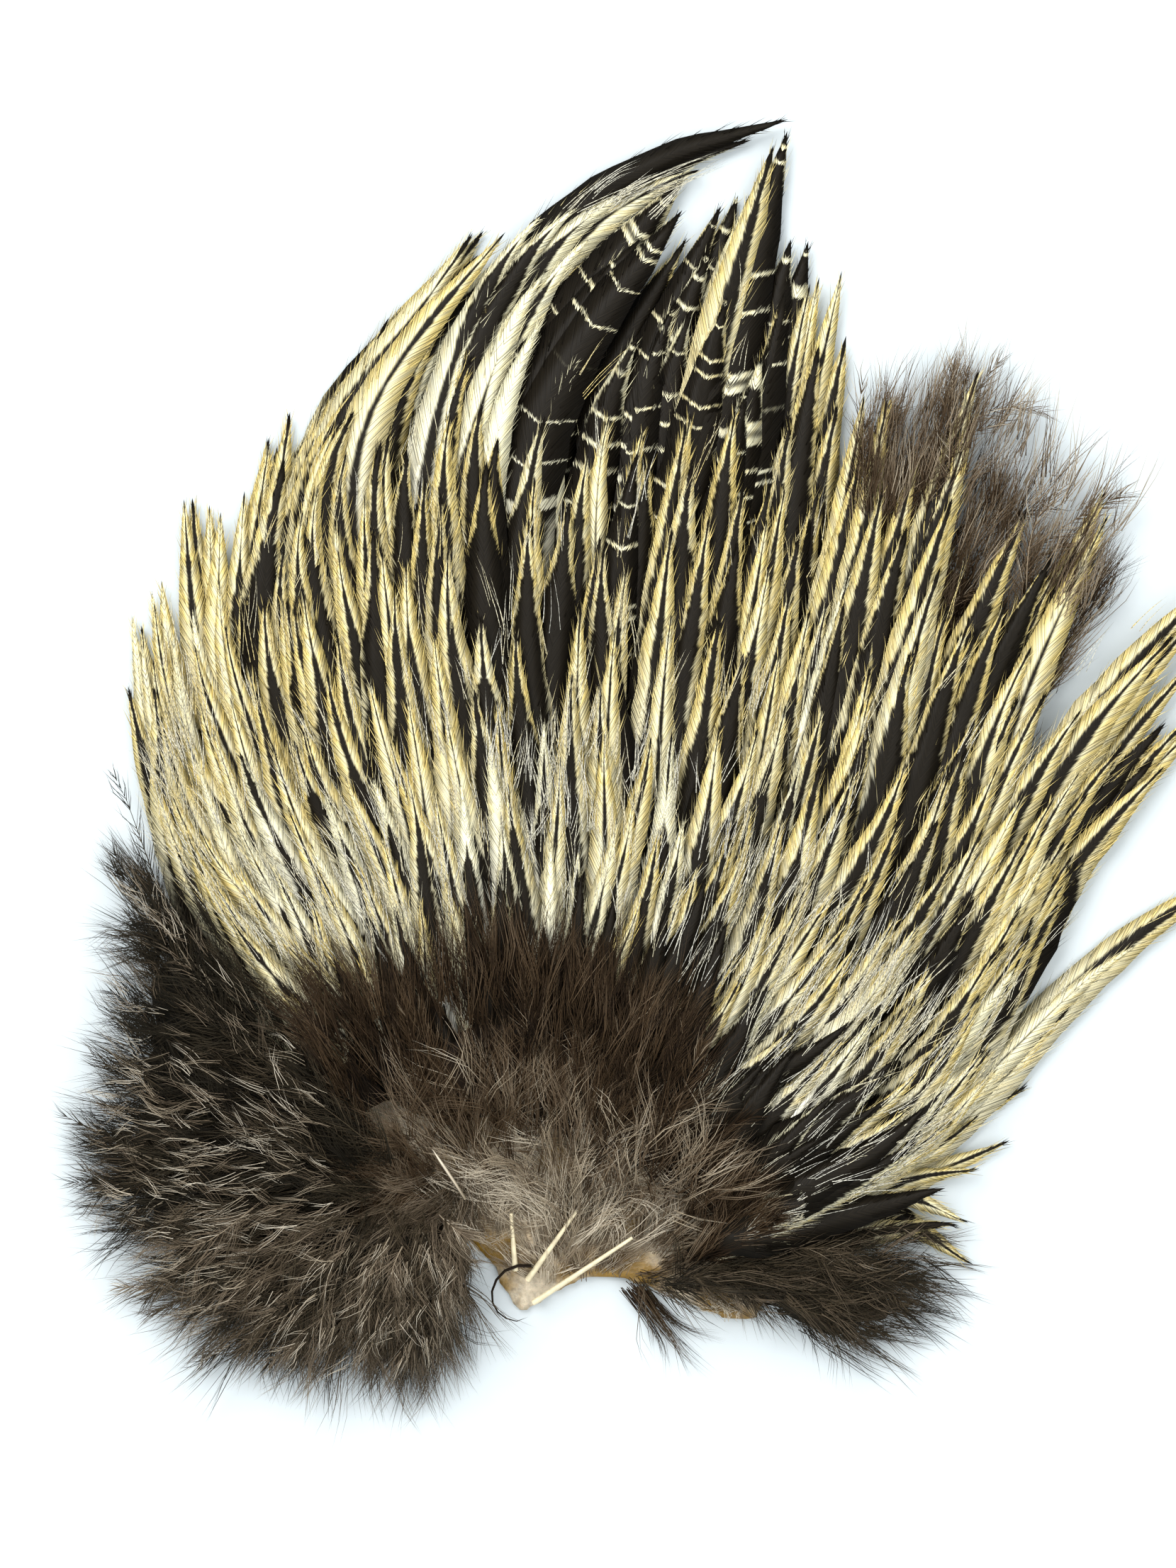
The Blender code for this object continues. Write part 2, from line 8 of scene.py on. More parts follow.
import bpy
import numpy as np
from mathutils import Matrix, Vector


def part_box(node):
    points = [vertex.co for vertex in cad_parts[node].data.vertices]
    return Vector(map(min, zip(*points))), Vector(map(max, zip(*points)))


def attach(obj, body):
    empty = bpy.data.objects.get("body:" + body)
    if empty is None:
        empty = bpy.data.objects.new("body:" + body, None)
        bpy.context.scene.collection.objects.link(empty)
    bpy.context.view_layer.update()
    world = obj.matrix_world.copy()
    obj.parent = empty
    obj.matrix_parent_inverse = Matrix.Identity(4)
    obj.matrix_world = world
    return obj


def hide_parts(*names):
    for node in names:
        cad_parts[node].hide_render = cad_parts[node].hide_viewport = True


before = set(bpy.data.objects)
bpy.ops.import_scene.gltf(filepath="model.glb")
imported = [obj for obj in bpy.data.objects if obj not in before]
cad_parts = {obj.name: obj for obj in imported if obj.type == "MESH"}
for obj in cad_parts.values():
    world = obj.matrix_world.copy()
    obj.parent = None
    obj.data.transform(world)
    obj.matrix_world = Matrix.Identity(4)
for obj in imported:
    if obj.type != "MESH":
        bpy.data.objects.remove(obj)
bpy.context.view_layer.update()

bl_info = {
    "name": "Rooster Saddle Hackle",
    "version": (1, 0, 0),
    "blender": (4, 5, 0),
    "location": "3D View > Sidebar > Hackle",
    "description": "Builds the feathers, down, hide and quills of a dried saddle patch",
    "category": "Object",
}

# The top view, as the solids use it
VIEW_CENTRE = (829.5, 1106.0)     # its middle, in picture units
VIEW_WIDTH = 1659                 # its width, in picture units
PICTURE_UNIT = 0.000105           # metres on the table for one picture unit
EYE_HEIGHT = 0.40                 # metres above the table

# Heights and places in the fan, as the solids use them
HIDE_THICKNESS = 0.0012           # metres, as are the next five
HIDE_TOP = 0.0018                 # height of the lowest feathers' underside over the hide
HALF_VANE = 0.0002                # from a vane's underside to its middle
FEATHER_PITCH = 0.0008            # from one layer of feathers to the next
TABLE_LIFT = 0.00035              # height of the lowest feathers' middle on the table
FLANK_RISE = 0.0026               # how far the flank's down lifts the feathers that cross it
FLANK = (19.2, 22.2)              # guides between which it lifts them fully
FLANK_BORDER = 1.2                # guides over which the lift grows and fades
FLANK_LIFT = (0.37, 0.61)         # t where the lift begins and is full
FEATHERS = (9.8, 26.3)            # the guides of the first and last feathers
HIDE_REACH = 0.25                 # t of the hide's far edge, where the lowest feathers are rooted
SLOPE_START = 0.29                # t where the lowest feathers leave the hide's height
SLOPE_END = 0.45                  # t where they reach the table
ROOT_STEP = 0.0225                # how far behind each layer's roots the next layer's lie, in t
LAST_ROOT = 0.12                  # t behind which no feather is rooted
CROWN_LAYER = 10                  # the layer of the fluff over the roots
TALL_SHARE = 1.4                  # the tallest feather's length as a share of the fan's
LAYERS = 10.0                     # layers from the longest feathers to the shortest
LONGEST = 0.98                    # t of the longest feathers' tips
TIP_RANGE = 0.62                  # how far behind them the shortest ones' tips lie, in t
TOP_LAYER = 9.4                   # the highest of these layers
QUILL_RADIUS = 0.00045            # metres
QUILL_THINNING = 0.55             # a quill's radius at its end as a share of that at its foot
HIDE_GRID = 0.0010                # metres between the points of the hide's mesh
HIDE_SWELL = 0.0003               # metres by which its top rises and falls

# The black stripe of a feather, in metres from its tip
WEDGE_WIDEST = (0.018, 0.034)     # least and greatest place where it is widest
WEDGE_ENDS = (0.034, 0.060)       # and where it begins to narrow again
WEDGE_FADE = 0.012                # length over which it narrows
DARK_TIP = 0.004                  # length of a dark tip

# The free barbs of a feather, least and greatest
BARB_ZONE = 0.066                 # metres from the tip within which they leave the vane
BARB_LENGTHS = (0.0030, 0.0085)   # metres
BARB_LEANS = (8.0, 20.0)          # degrees from the shaft

# The barbs of a plume of down
PLUME_LEANS = (28.0, 58.0)        # degrees from the shaft, least and greatest
PLUME_FLOOR = 0.00012             # metres above the table that they stay

# The fan's guide lines, root to tip, clockwise from the bottom, in picture units
GUIDES = (
    ((625, 1700), (640, 1740), (645, 1780), (643, 1820), (640, 1860), (640, 1900)),
    ((600, 1705), (600, 1760), (598, 1818), (592, 1876), (585, 1932), (577, 1990)),
    ((580, 1705), (555, 1760), (530, 1820), (505, 1880), (478, 1938), (455, 1997)),
    ((560, 1700), (505, 1755), (445, 1810), (385, 1863), (320, 1917), (255, 1972)),
    ((550, 1690), (470, 1730), (385, 1768), (300, 1806), (215, 1842), (130, 1880)),
    ((545, 1680), (450, 1690), (355, 1700), (262, 1712), (168, 1728), (75, 1748)),
    ((545, 1672), (450, 1660), (355, 1645), (260, 1632), (165, 1618), (70, 1600)),
    ((550, 1665), (455, 1625), (360, 1585), (265, 1545), (172, 1508), (85, 1475)),
    ((560, 1660), (465, 1580), (370, 1500), (275, 1425), (185, 1355), (105, 1290)),
    ((570, 1655), (480, 1545), (385, 1440), (290, 1330), (205, 1215), (135, 1100)),
    ((575, 1655), (470, 1510), (365, 1375), (270, 1225), (215, 1050), (183, 872)),
    ((600, 1670), (515, 1470), (430, 1310), (345, 1130), (285, 930), (266, 695)),
    ((625, 1690), (565, 1480), (500, 1290), (420, 1090), (375, 850), (412, 575)),
    ((660, 1710), (620, 1470), (560, 1230), (480, 960), (470, 640), (703, 300)),
    ((700, 1730), (690, 1440), (655, 1140), (615, 830), (650, 520), (850, 262)),
    ((745, 1750), (748, 1450), (735, 1150), (725, 850), (765, 540), (978, 245)),
    ((785, 1762), (802, 1470), (820, 1170), (835, 870), (880, 570), (1008, 290)),
    ((815, 1770), (850, 1500), (925, 1230), (970, 900), (1025, 540), (1112, 185)),
    ((845, 1775), (905, 1520), (1005, 1280), (1070, 1000), (1125, 690), (1187, 380)),
    ((870, 1780), (945, 1550), (1065, 1340), (1145, 1090), (1205, 820), (1256, 560)),
    ((890, 1780), (985, 1580), (1115, 1365), (1222, 1145), (1290, 860), (1392, 520)),
    ((905, 1785), (1025, 1610), (1190, 1430), (1320, 1210), (1425, 960), (1565, 690)),
    ((915, 1790), (1060, 1650), (1240, 1500), (1380, 1290), (1530, 1030), (1735, 795)),
    ((920, 1795), (1075, 1685), (1270, 1570), (1410, 1380), (1530, 1190), (1715, 985)),
    ((925, 1800), (1085, 1710), (1280, 1630), (1420, 1490), (1560, 1350), (1765, 1215)),
    ((930, 1805), (1050, 1740), (1180, 1700), (1300, 1630), (1400, 1540), (1500, 1430)),
    ((935, 1810), (1000, 1762), (1100, 1738), (1210, 1728), (1300, 1738), (1380, 1765)),
    ((930, 1815), (1010, 1790), (1095, 1800), (1180, 1825), (1260, 1845), (1335, 1875)),
    ((915, 1815), (975, 1805), (1035, 1820), (1090, 1850), (1150, 1890), (1212, 1932)),
    ((885, 1800), (905, 1810), (922, 1828), (938, 1850), (955, 1873), (975, 1900)),
)
TALL_CURVE = ((700, 1730), (690, 1440), (655, 1140), (615, 830), (652, 560),
              (757, 350), (920, 230), (1112, 168))

# The hide's lower edge, which shows, in picture units
HIDE_EDGE = ((605, 1738), (655, 1750), (694, 1782), (705, 1812), (722, 1838), (737, 1852), (757, 1842),
             (790, 1822), (830, 1803), (880, 1806), (930, 1822), (985, 1846), (1030, 1864), (1060, 1866),
             (1075, 1848), (1080, 1815))
QUILLS = (
    ((744, 1806), (818, 1702), 0.0024, 0.0034), ((752, 1838), (892, 1746), 0.0024, 0.0036),
    ((727, 1792), (721, 1712), 0.0024, 0.0032),
)

# Kinds of feather: half width in metres, black stripe's half width as a share of the vane's,
# gold and grey from 0 to 1, how broken the stripe is, 1 for cream bars, and how dark the tip is
KINDS = {
    "striped": (0.0054, 0.34, 0.90, 0.35, 0.22, 0.0, 0.3),
    "fine": (0.0048, 0.15, 0.90, 0.35, 0.12, 0.0, 0.2),
    "thick": (0.0058, 0.66, 0.80, 0.30, 0.40, 0.0, 0.6),
    "banded": (0.0070, 1.30, 0.15, 0.50, 0.10, 1.0, 0.3),
    "white": (0.0050, 0.30, 0.12, 0.95, 0.45, 0.0, 0.0),
    "tall": (0.0044, 1.25, 0.10, 0.90, 0.10, 0.0, 1.0),
    "black": (0.0060, 1.45, 0.00, 0.20, 0.00, 0.0, 1.0),
    "pale": (0.0038, 0.05, 0.40, 0.10, 0.00, 0.0, 0.0),
    "tan": (0.0046, 0.20, 0.90, 0.20, 0.10, 0.0, 0.8),
}

# Feathers placed one by one: tip in picture units, layer and kind
PLACED = {
    "long": (
        (185, 874, 0.0, "pale"), (212, 832, 0.3, "pale"), (200, 905, 0.8, "pale"),
        (243, 900, 1.0, "thick"), (266, 697, 0.5, "fine"), (306, 727, 1.2, "fine"),
        (362, 632, 0.4, "fine"), (345, 690, 1.5, "striped"), (412, 577, 0.9, "striped"),
        (410, 635, 1.9, "thick"), (447, 582, 0.2, "striped"), (500, 530, 1.0, "striped"),
        (545, 478, 0.3, "striped"), (600, 400, 1.4, "striped"), (640, 352, 0.4, "striped"),
        (678, 318, 1.1, "striped"), (700, 302, 1.8, "striped"), (712, 330, 2.4, "fine"),
        (974, 250, 1.2, "banded"), (960, 290, 2.0, "banded"), (900, 330, 1.6, "banded"),
        (1032, 285, 0.4, "banded"), (1008, 300, 0.8, "banded"), (1112, 185, 1.0, "banded"),
        (1096, 205, 1.8, "striped"), (1118, 435, 0.6, "thick"), (1163, 415, 0.9, "fine"),
        (1187, 382, 1.6, "fine"), (1220, 555, 1.2, "striped"), (1256, 562, 2.0, "striped"),
        (1391, 523, 1.8, "striped"), (1384, 590, 2.5, "striped"),
        (1300, 640, 2.2, "striped"), (1345, 700, 3.0, "striped"), (1285, 740, 3.2, "thick"),
        (1440, 700, 2.0, "striped"), (1475, 770, 2.7, "thick"), (1505, 815, 2.2, "striped"),
        (1420, 850, 3.2, "striped"), (1370, 880, 3.5, "thick"), (1540, 850, 1.6, "fine"),
        (1210, 640, 2.4, "thick"), (1180, 560, 1.6, "striped"), (1240, 690, 3.0, "striped"),
        (1470, 920, 3.0, "striped"), (1330, 800, 3.6, "striped"), (1160, 500, 2.2, "thick"),
        (1564, 692, 1.5, "striped"),
        (1580, 735, 2.4, "fine"), (1733, 797, 0.5, "tan"), (1700, 850, 1.3, "tan"),
        (1660, 905, 2.0, "tan"), (1713, 987, 0.8, "tan"), (1640, 1074, 1.9, "striped"),
        (1690, 1030, 1.2, "tan"), (1762, 1217, 0.5, "tan"), (1600, 1335, 1.4, "pale"),
        (1565, 1405, 0.6, "pale"), (1498, 1432, 1.0, "tan"), (1470, 1500, 0.3, "tan"),
        (1440, 1600, 0.8, "tan"), (1380, 1765, 1.0, "thick"), (1375, 1700, 2.4, "striped"),
        (1390, 1560, 2.0, "striped"), (1385, 1640, 3.0, "striped"), (1350, 1738, 4.5, "thick"),
        (1300, 1690, 6.0, "striped"), (1250, 1630, 7.5, "striped"), (1330, 1600, 5.0, "fine"),
        (1220, 1700, 7.0, "thick"), (1320, 1510, 5.0, "fine"), (1400, 1480, 3.5, "tan"),
    ),
    "black": (
        (655, 1270, 10.1, "black"), (730, 1260, 9.9, "black"), (820, 1230, 10.2, "black"),
        (770, 1330, 10.5, "black"), (945, 1280, 10.0, "black"), (1030, 1300, 10.4, "black"),
        (880, 1370, 10.3, "black"), (1190, 1430, 10.1, "black"), (1120, 1480, 10.5, "black"),
        (1240, 1560, 9.9, "black"), (560, 1330, 10.1, "black"), (1240, 1660, 10.3, "black"),
        (1160, 1600, 10.6, "black"), (700, 1225, 9.6, "black"), (860, 1255, 9.7, "black"),
        (985, 1235, 9.6, "black"), (520, 1290, 9.7, "black"), (1090, 1390, 9.9, "black"),
        (1290, 1622, 10.2, "black"), (1075, 1500, 10.6, "black"), (1180, 1540, 10.4, "black"),
        (1255, 1490, 10.3, "black"), (1330, 1690, 10.4, "black"), (1310, 1560, 10.0, "black"),
        (470, 1350, 10.4, "black"), (610, 1390, 10.6, "black"),
    ),
}
# Loose hairs placed one by one: piece, root in picture units, how far round it, aim and fan in degrees
# (0 to the right, 90 up the picture), count, lengths in metres, heights at root and tip, tones, curl
TUFTS = (
    ("crown", (680, 1700), (50, 50), 120, 60, 420, (0.006, 0.013), (0.0018, 0.0050), (0.50, 0.95), 0.8),
    ("crown", (820, 1690), (110, 46), 85, 70, 520, (0.005, 0.013), (0.0040, 0.0084), (0.40, 0.98), 1.0),
    ("crown", (810, 1715), (90, 40), 75, 70, 260, (0.006, 0.014), (0.0030, 0.0060), (0.80, 1.00), 1.0),
    ("crown", (790, 1725), (70, 40), 85, 50, 700, (0.005, 0.012), (0.0014, 0.0028), (0.55, 0.98), 0.8),
    ("crown", (820, 1640), (150, 44), 85, 70, 460, (0.006, 0.014), (0.0060, 0.0100), (0.30, 0.90), 1.0),
    ("crown", (930, 1745), (60, 40), 50, 50, 460, (0.006, 0.013), (0.0024, 0.0060), (0.45, 0.95), 0.8),
    ("crown", (765, 1782), (60, 24), 95, 55, 300, (0.004, 0.009), (0.0013, 0.0018), (0.55, 0.98), 0.8),
    ("crown", (870, 1792), (60, 14), 60, 50, 180, (0.004, 0.009), (0.0013, 0.0018), (0.50, 0.90), 0.8),
    ("crown", (985, 1785), (80, 30), 20, 40, 300, (0.006, 0.012), (0.0026, 0.0060), (0.20, 0.65), 0.7),
    ("crown", (560, 1655), (50, 40), 150, 60, 420, (0.006, 0.012), (0.0040, 0.0080), (0.20, 0.60), 0.8),
    ("crown", (640, 1620), (80, 60), 120, 50, 300, (0.008, 0.015), (0.0060, 0.0105), (0.30, 0.65), 0.7),
    ("crown", (770, 1580), (190, 60), 90, 45, 650, (0.008, 0.015), (0.0080, 0.0125), (0.22, 0.62), 0.6),
    ("crown", (590, 1690), (65, 45), 190, 60, 500, (0.006, 0.012), (0.0035, 0.0065), (0.30, 0.70), 0.8),
    ("crown", (898, 1818), (20, 8), 312, 9, 110, (0.008, 0.016), (0.0022, 0.0009), (0.05, 0.45), 0.4),
    ("crown", (1022, 1846), (22, 10), 190, 70, 80, (0.0015, 0.0035), (0.0016, 0.0024), (0.92, 1.00), 2.0),
    ("bottom", (625, 1700), (50, 45), 235, 50, 420, (0.006, 0.012), (0.0040, 0.0080), (0.30, 0.66), 0.7),
    ("bottom", (560, 1750), (70, 60), 255, 35, 420, (0.007, 0.014), (0.0060, 0.0085), (0.28, 0.60), 0.5),
    ("bottom", (600, 1860), (40, 40), 265, 25, 140, (0.008, 0.015), (0.0030, 0.0015), (0.30, 0.60), 0.4),
    ("bottom", (480, 1830), (90, 60), 250, 25, 280, (0.008, 0.015), (0.0060, 0.0030), (0.24, 0.55), 0.4),
    ("tall", (850, 290), (90, 30), 36, 12, 60, (0.008, 0.016), (0.0032, 0.0034), (0.60, 0.95), 0.25),
    ("left", (260, 1480), (110, 110), 160, 45, 260, (0.005, 0.010), (0.0085, 0.0095), (0.0, 0.12), 0.8),
)
# Loose pale barbs over the feathers: piece, count, guides, roots and shades from gold to ash
WISPS = (
    ("long", 60, (10.2, 25.5), (0.74, 0.90), (0.0, 0.7)),
    ("upper", 160, (10.2, 25.0), (0.60, 0.76), (0.1, 0.9)),
    ("middle", 360, (10.2, 25.0), (0.46, 0.62), (0.2, 1.0)),
    ("lower", 1300, (10.0, 25.0), (0.30, 0.48), (0.4, 1.0)),
    ("lower", 240, (19.6, 26.0), (0.17, 0.34), (0.5, 1.0)),
    ("middle", 260, (9.8, 10.9), (0.46, 0.80), (0.1, 0.9)),
)
# Feathers that follow the tallest one: layer, picture units to its side, tip and kind
TALL_ONES = (
    (2.0, 0.0, 1.0, "tall"), (1.2, 14.0, 0.96, "tall"), (1.4, 34.0, 0.90, "white"),
    (2.3, 20.0, 0.83, "white"), (1.2, 60.0, 0.82, "banded"), (1.8, -10.0, 0.80, "thick"),
    (2.2, 44.0, 0.76, "white"), (2.6, 6.0, 0.70, "striped"), (2.9, -26.0, 0.74, "white"),
    (3.0, -2.0, 0.77, "white"), (3.2, 30.0, 0.70, "white"), (3.4, 62.0, 0.66, "white"),
)
# Rows of shorter feathers: piece, number of nodes and seed
SHORTER_ROWS = (("upper", 6, 13), ("middle", 7, 14), ("lower", 5, 15))
# The down at the left and the bottom: piece, seed, numbers of its nodes, guides, reach in the fan,
# and the tones of its hairs and of its pale hairs
SIDE_DOWN = (
    ("left_down", 21, (1, 2, 5), (4.9, 8.9), 1.0, (0.0, 0.30), (0.50, 1.0)),
    ("bottom_down", 22, (3, 4, 6, 7, 8), (-0.2, 5.1), 0.89, (0.12, 0.66), (0.45, 0.95)),
)
# The curled black barb at the hide's corner, in picture units
CURLED_BARB = ((750, 1786), (730, 1786), (712, 1793), (700, 1806), (694, 1822), (695, 1838),
               (702, 1851), (714, 1860), (729, 1864), (745, 1858))
# A bare shaft half under the fluff, in picture units
BARE_SHAFT = ((656, 1692), (641, 1668), (625, 1644), (609, 1620))

# Rows of feathers that fill the fan: the tips' least and greatest t, and how many rows
FILLED = {"long": (0.80, 0.955, 3), "upper": (0.68, 0.75, 2),
          "middle": (0.53, 0.61, 2), "lower": (0.39, 0.46, 2)}
NOT_FILLED = (0.0, 0.0, 0)
SPREAD = 0.038                    # how far from its row's t a tip may lie
# Places with no such feathers: the guides and the least t
BARE = {"long": ((18.3, 22.6, 0.86), (23.3, 30.0, 0.60)),
        "upper": ((23.3, 30.0, 0.60),), "middle": ((23.3, 30.0, 0.60),), "lower": ()}

# How likely each kind of feather is where a tip lies: least and greatest x and y in picture units,
# and the odds. The first row that fits is used.
ODDS = (
    (730, 850, 0, 560, {"white": 0.55, "banded": 0.3, "striped": 0.15}),
    (850, 1100, 0, 560, {"banded": 0.7, "white": 0.15, "thick": 0.15}),
    (-500, 330, 0, 2212, {"fine": 0.6, "striped": 0.3, "pale": 0.1}),
    (1380, 2500, 0, 1350, {"tan": 0.35, "fine": 0.15, "striped": 0.35, "thick": 0.15}),
    (1000, 2500, 640, 2212, {"striped": 0.55, "thick": 0.25, "white": 0.15, "fine": 0.05}),
    (-500, 2500, 0, 800, {"striped": 0.45, "thick": 0.43, "banded": 0.04, "fine": 0.08}),
    (-500, 2500, 800, 1000, {"striped": 0.52, "thick": 0.16, "fine": 0.32}),
    (-500, 2500, 1000, 1380, {"fine": 0.47, "striped": 0.18, "white": 0.33, "thick": 0.02}),
    (-500, 2500, 1380, 2212, {"striped": 0.35, "thick": 0.35, "black": 0.1, "fine": 0.2}),
)

# The lamps: name, place and width in metres, and power in watts
LAMPS = (
    ("window_light", (-0.45, 0.55, 0.85), 0.7, 13.0),
    ("fill_light", (0.5, -0.2, 0.9), 0.9, 5.0),
)
SENSOR = 36.0                     # width of the camera's sensor in millimetres

# Colours of the down from its darkest hairs to its palest
DOWN_TINTS = {
    "dark_down": ((0.0, "#0F0C07"), (0.25, "#2A251B"), (0.45, "#463C2D"),
                  (0.65, "#6F6150"), (0.85, "#A3957F"), (1.0, "#D8CDB9")),
    "brown_down": ((0.0, "#110B06"), (0.25, "#2C2014"), (0.45, "#493927"),
                   (0.65, "#756450"), (0.85, "#AB9C84"), (1.0, "#DDD1BB")),
}

LOWEST = 0.0004                   # metres: what hangs lower is pressed together on the table
HIGHEST = 0.0130                  # metres: what stands higher is pressed together above
SQUEEZE = 0.0012                  # metres that this leaves for it
LOCK = 8                          # hairs in a lock
LOCK_WIDTH = 5.0                  # how far apart they start, in picture units
FACE_ANGLES = np.radians((90.0, 210.0, 330.0))
SLANT = 2.1                       # how far forward a barb runs for each unit outwards
BAR_SLANT = 0.45                  # the same for the cream bars
ROOT_MAP = 0.015                  # share of its cell in the bake map that a root's end takes
GRID = np.array(GUIDES, float)


def srgb(code):
    """Linear colour from an sRGB hex code."""
    parts = [int(code[i:i + 2], 16) / 255 for i in (1, 3, 5)]
    return tuple(p / 12.92 if p <= 0.04045 else ((p + 0.055) / 1.055) ** 2.4 for p in parts) + (1.0,)


def colour(name, description, code):
    """A colour property with its default given as an sRGB hex code."""
    return bpy.props.FloatVectorProperty(name=name, description=description, size=4,
                                         subtype="COLOR", min=0.0, max=1.0, default=srgb(code))


class HackleSizes(bpy.types.PropertyGroup):
    """Sizes of the patch's feathers and down."""
    tip_taper: bpy.props.FloatProperty(
        name="Tip taper", description="Length over which a feather narrows to its point",
        default=0.029, min=0.004, unit="LENGTH")
    vane_thickness: bpy.props.FloatProperty(
        name="Vane thickness", description="Thickness of a vane at its shaft",
        default=0.00016, min=0.00004, unit="LENGTH")
    camber: bpy.props.FloatProperty(
        name="Camber", description="How far a vane's middle arches above its edges",
        default=0.00045, min=0.0, unit="LENGTH")
    spacing: bpy.props.FloatProperty(
        name="Feather spacing", description="Distance between neighbouring tips in a row",
        default=0.0054, min=0.002, unit="LENGTH")
    barb_radius: bpy.props.FloatProperty(
        name="Barb radius", description="Radius of a free barb at its base",
        default=0.00007, min=0.00001, unit="LENGTH")
    barbs: bpy.props.IntProperty(
        name="Free barbs", description="Free barbs on each side of a feather", default=48, min=0)
    down_radius: bpy.props.FloatProperty(
        name="Down radius", description="Radius of a strand of down at its base",
        default=0.000075, min=0.00001, unit="LENGTH")
    down_barbs: bpy.props.IntProperty(
        name="Down barbs", description="Barbs on each side of a plume of down", default=34, min=4)


class HackleColours(bpy.types.PropertyGroup):
    """Colours of the patch."""
    gold: colour("Gold", "Outer barbs of a striped feather", "#EDD586")
    cream: colour("Cream", "Barbs next to the dark stripe", "#FBF4CE")
    ash: colour("Ash", "Pale grey lower barbs", "#E9E6DA")
    ink: colour("Ink", "Black of the stripes", "#0B0907")
    umber: colour("Umber", "Brown that the black weathers to", "#241F17")
    amber: colour("Amber", "Dried fat on the hide", "#8C6B22")
    skin: colour("Skin", "Thin dry hide", "#CDBEA4")
    horn: colour("Horn", "Bare quills", "#DDD0AC")
    paper: colour("Paper", "The surface that the patch lies on", "#C9D0D2")


def spline_weights(x, count):
    """Rows and weights of the smooth curve through rows 0 to count - 1, straight past both ends."""
    low = np.clip(np.floor(x).astype(int), 0, count - 2)
    inside = np.clip(x - low, 0.0, 1.0)
    past = x - low - inside
    square = inside * inside
    cube = square * inside
    start = 2 * cube - 3 * square + 1
    leave = cube - 2 * square + inside + np.minimum(past, 0.0)
    arrive = cube - square + np.maximum(past, 0.0)
    return low, start, leave, 1.0 - start, arrive


def fan(s, t):
    """Picture place of the fan's point s guides round and t of the way from root to tip."""
    s, t = np.broadcast_arrays(np.asarray(s, float), np.asarray(t, float))
    shape = s.shape
    s = s.ravel()
    t = t.ravel()
    count = GRID.shape[1]
    slopes = np.gradient(GRID, axis=1)
    low, *weights = spline_weights(t * (count - 1), count)
    a, b, c, d = (weight[None, :, None] for weight in weights)
    lines = GRID[:, low] * a + slopes[:, low] * b + GRID[:, low + 1] * c + slopes[:, low + 1] * d
    turns = np.gradient(lines, axis=0)
    low, *weights = spline_weights(s, len(GRID))
    a, b, c, d = (weight[:, None] for weight in weights)
    each = np.arange(len(s))
    place = (lines[low, each] * a + turns[low, each] * b
             + lines[low + 1, each] * c + turns[low + 1, each] * d)
    return place.reshape(shape + (2,))


def ease(x):
    """A smooth step from 0 to 1."""
    x = np.clip(x, 0.0, 1.0)
    return x * x * (3.0 - 2.0 * x)


def below_camera(place, height):
    """Points of picture places seen at heights, with the point below the camera as the origin."""
    place = np.asarray(place, float)
    height = np.broadcast_to(np.asarray(height, float), place.shape[:-1])
    scale = PICTURE_UNIT * (1.0 - height / EYE_HEIGHT)
    across = (place[..., 0] - VIEW_CENTRE[0]) * scale
    up = (VIEW_CENTRE[1] - place[..., 1]) * scale
    return np.stack((across, up, height), axis=-1)


def hide_outline():
    """The hide's outline in picture units: its far edge across the fan, then its lower edge."""
    far = fan(np.arange(2.0, 27.5, 1.0), np.full(26, HIDE_REACH - 0.01))
    return np.array([tuple(place) for place in far] + list(reversed(HIDE_EDGE)))


# Where the point below the camera lies in the frame
SHIFT = tuple(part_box("hide")[0][i] - below_camera(hide_outline(), 0.0)[:, i].min() for i in (0, 1))


def at_picture(place, height):
    """Points in the frame of picture places seen at heights above the table."""
    return below_camera(place, height) + np.array(SHIFT + (0.0,))


def flank_lift(s, t):
    """How far the flank's down lifts the feathers that cross it."""
    across = ease((s - FLANK[0]) / FLANK_BORDER + 1.0) * ease((FLANK[1] - s) / FLANK_BORDER + 1.0)
    return FLANK_RISE * across * ease((t - FLANK_LIFT[0]) / (FLANK_LIFT[1] - FLANK_LIFT[0]))


def ground(s, t):
    """Height of the lowest feather's middle: over the hide, then down to the table."""
    on_hide = HIDE_TOP + HALF_VANE
    down = np.clip((t - SLOPE_START) / (SLOPE_END - SLOPE_START), 0.0, 1.0)
    return on_hide + (TABLE_LIFT - on_hide) * down + flank_lift(s, t)


def feather_height(s, t, layer):
    """Height of a feather's middle. Every layer rises from the hide at its own root line."""
    root = HIDE_REACH - layer * ROOT_STEP
    return ground(s, t) + FEATHER_PITCH * np.clip((t - root) / ROOT_STEP, 0.0, layer)


def layer_at(t):
    """The layer of a feather whose tip is at t: the shorter, the higher."""
    return LAYERS * (LONGEST - t) / TIP_RANGE


def find_in_fan():
    """A function that gives the (s, t) of a picture place among the feathers."""
    s, t = np.meshgrid(np.linspace(*FEATHERS, 337), np.linspace(0.3, 1.0, 281))
    places = fan(s, t)

    def find(place):
        """The (s, t) nearest to a picture place."""
        away = np.linalg.norm(places - np.asarray(place, float), axis=-1)
        best = np.unravel_index(np.argmin(away), away.shape)
        return float(s[best]), float(t[best])

    return find


def pressed(height):
    """Heights with what hangs too low or stands too high pressed together."""
    low = LOWEST * np.exp(np.minimum(height / LOWEST, 1.0) - 1.0)
    high = HIGHEST + SQUEEZE * np.tanh(np.maximum(height - HIGHEST, 0.0) / SQUEEZE)
    return np.where(height < LOWEST, low, np.minimum(height, high))


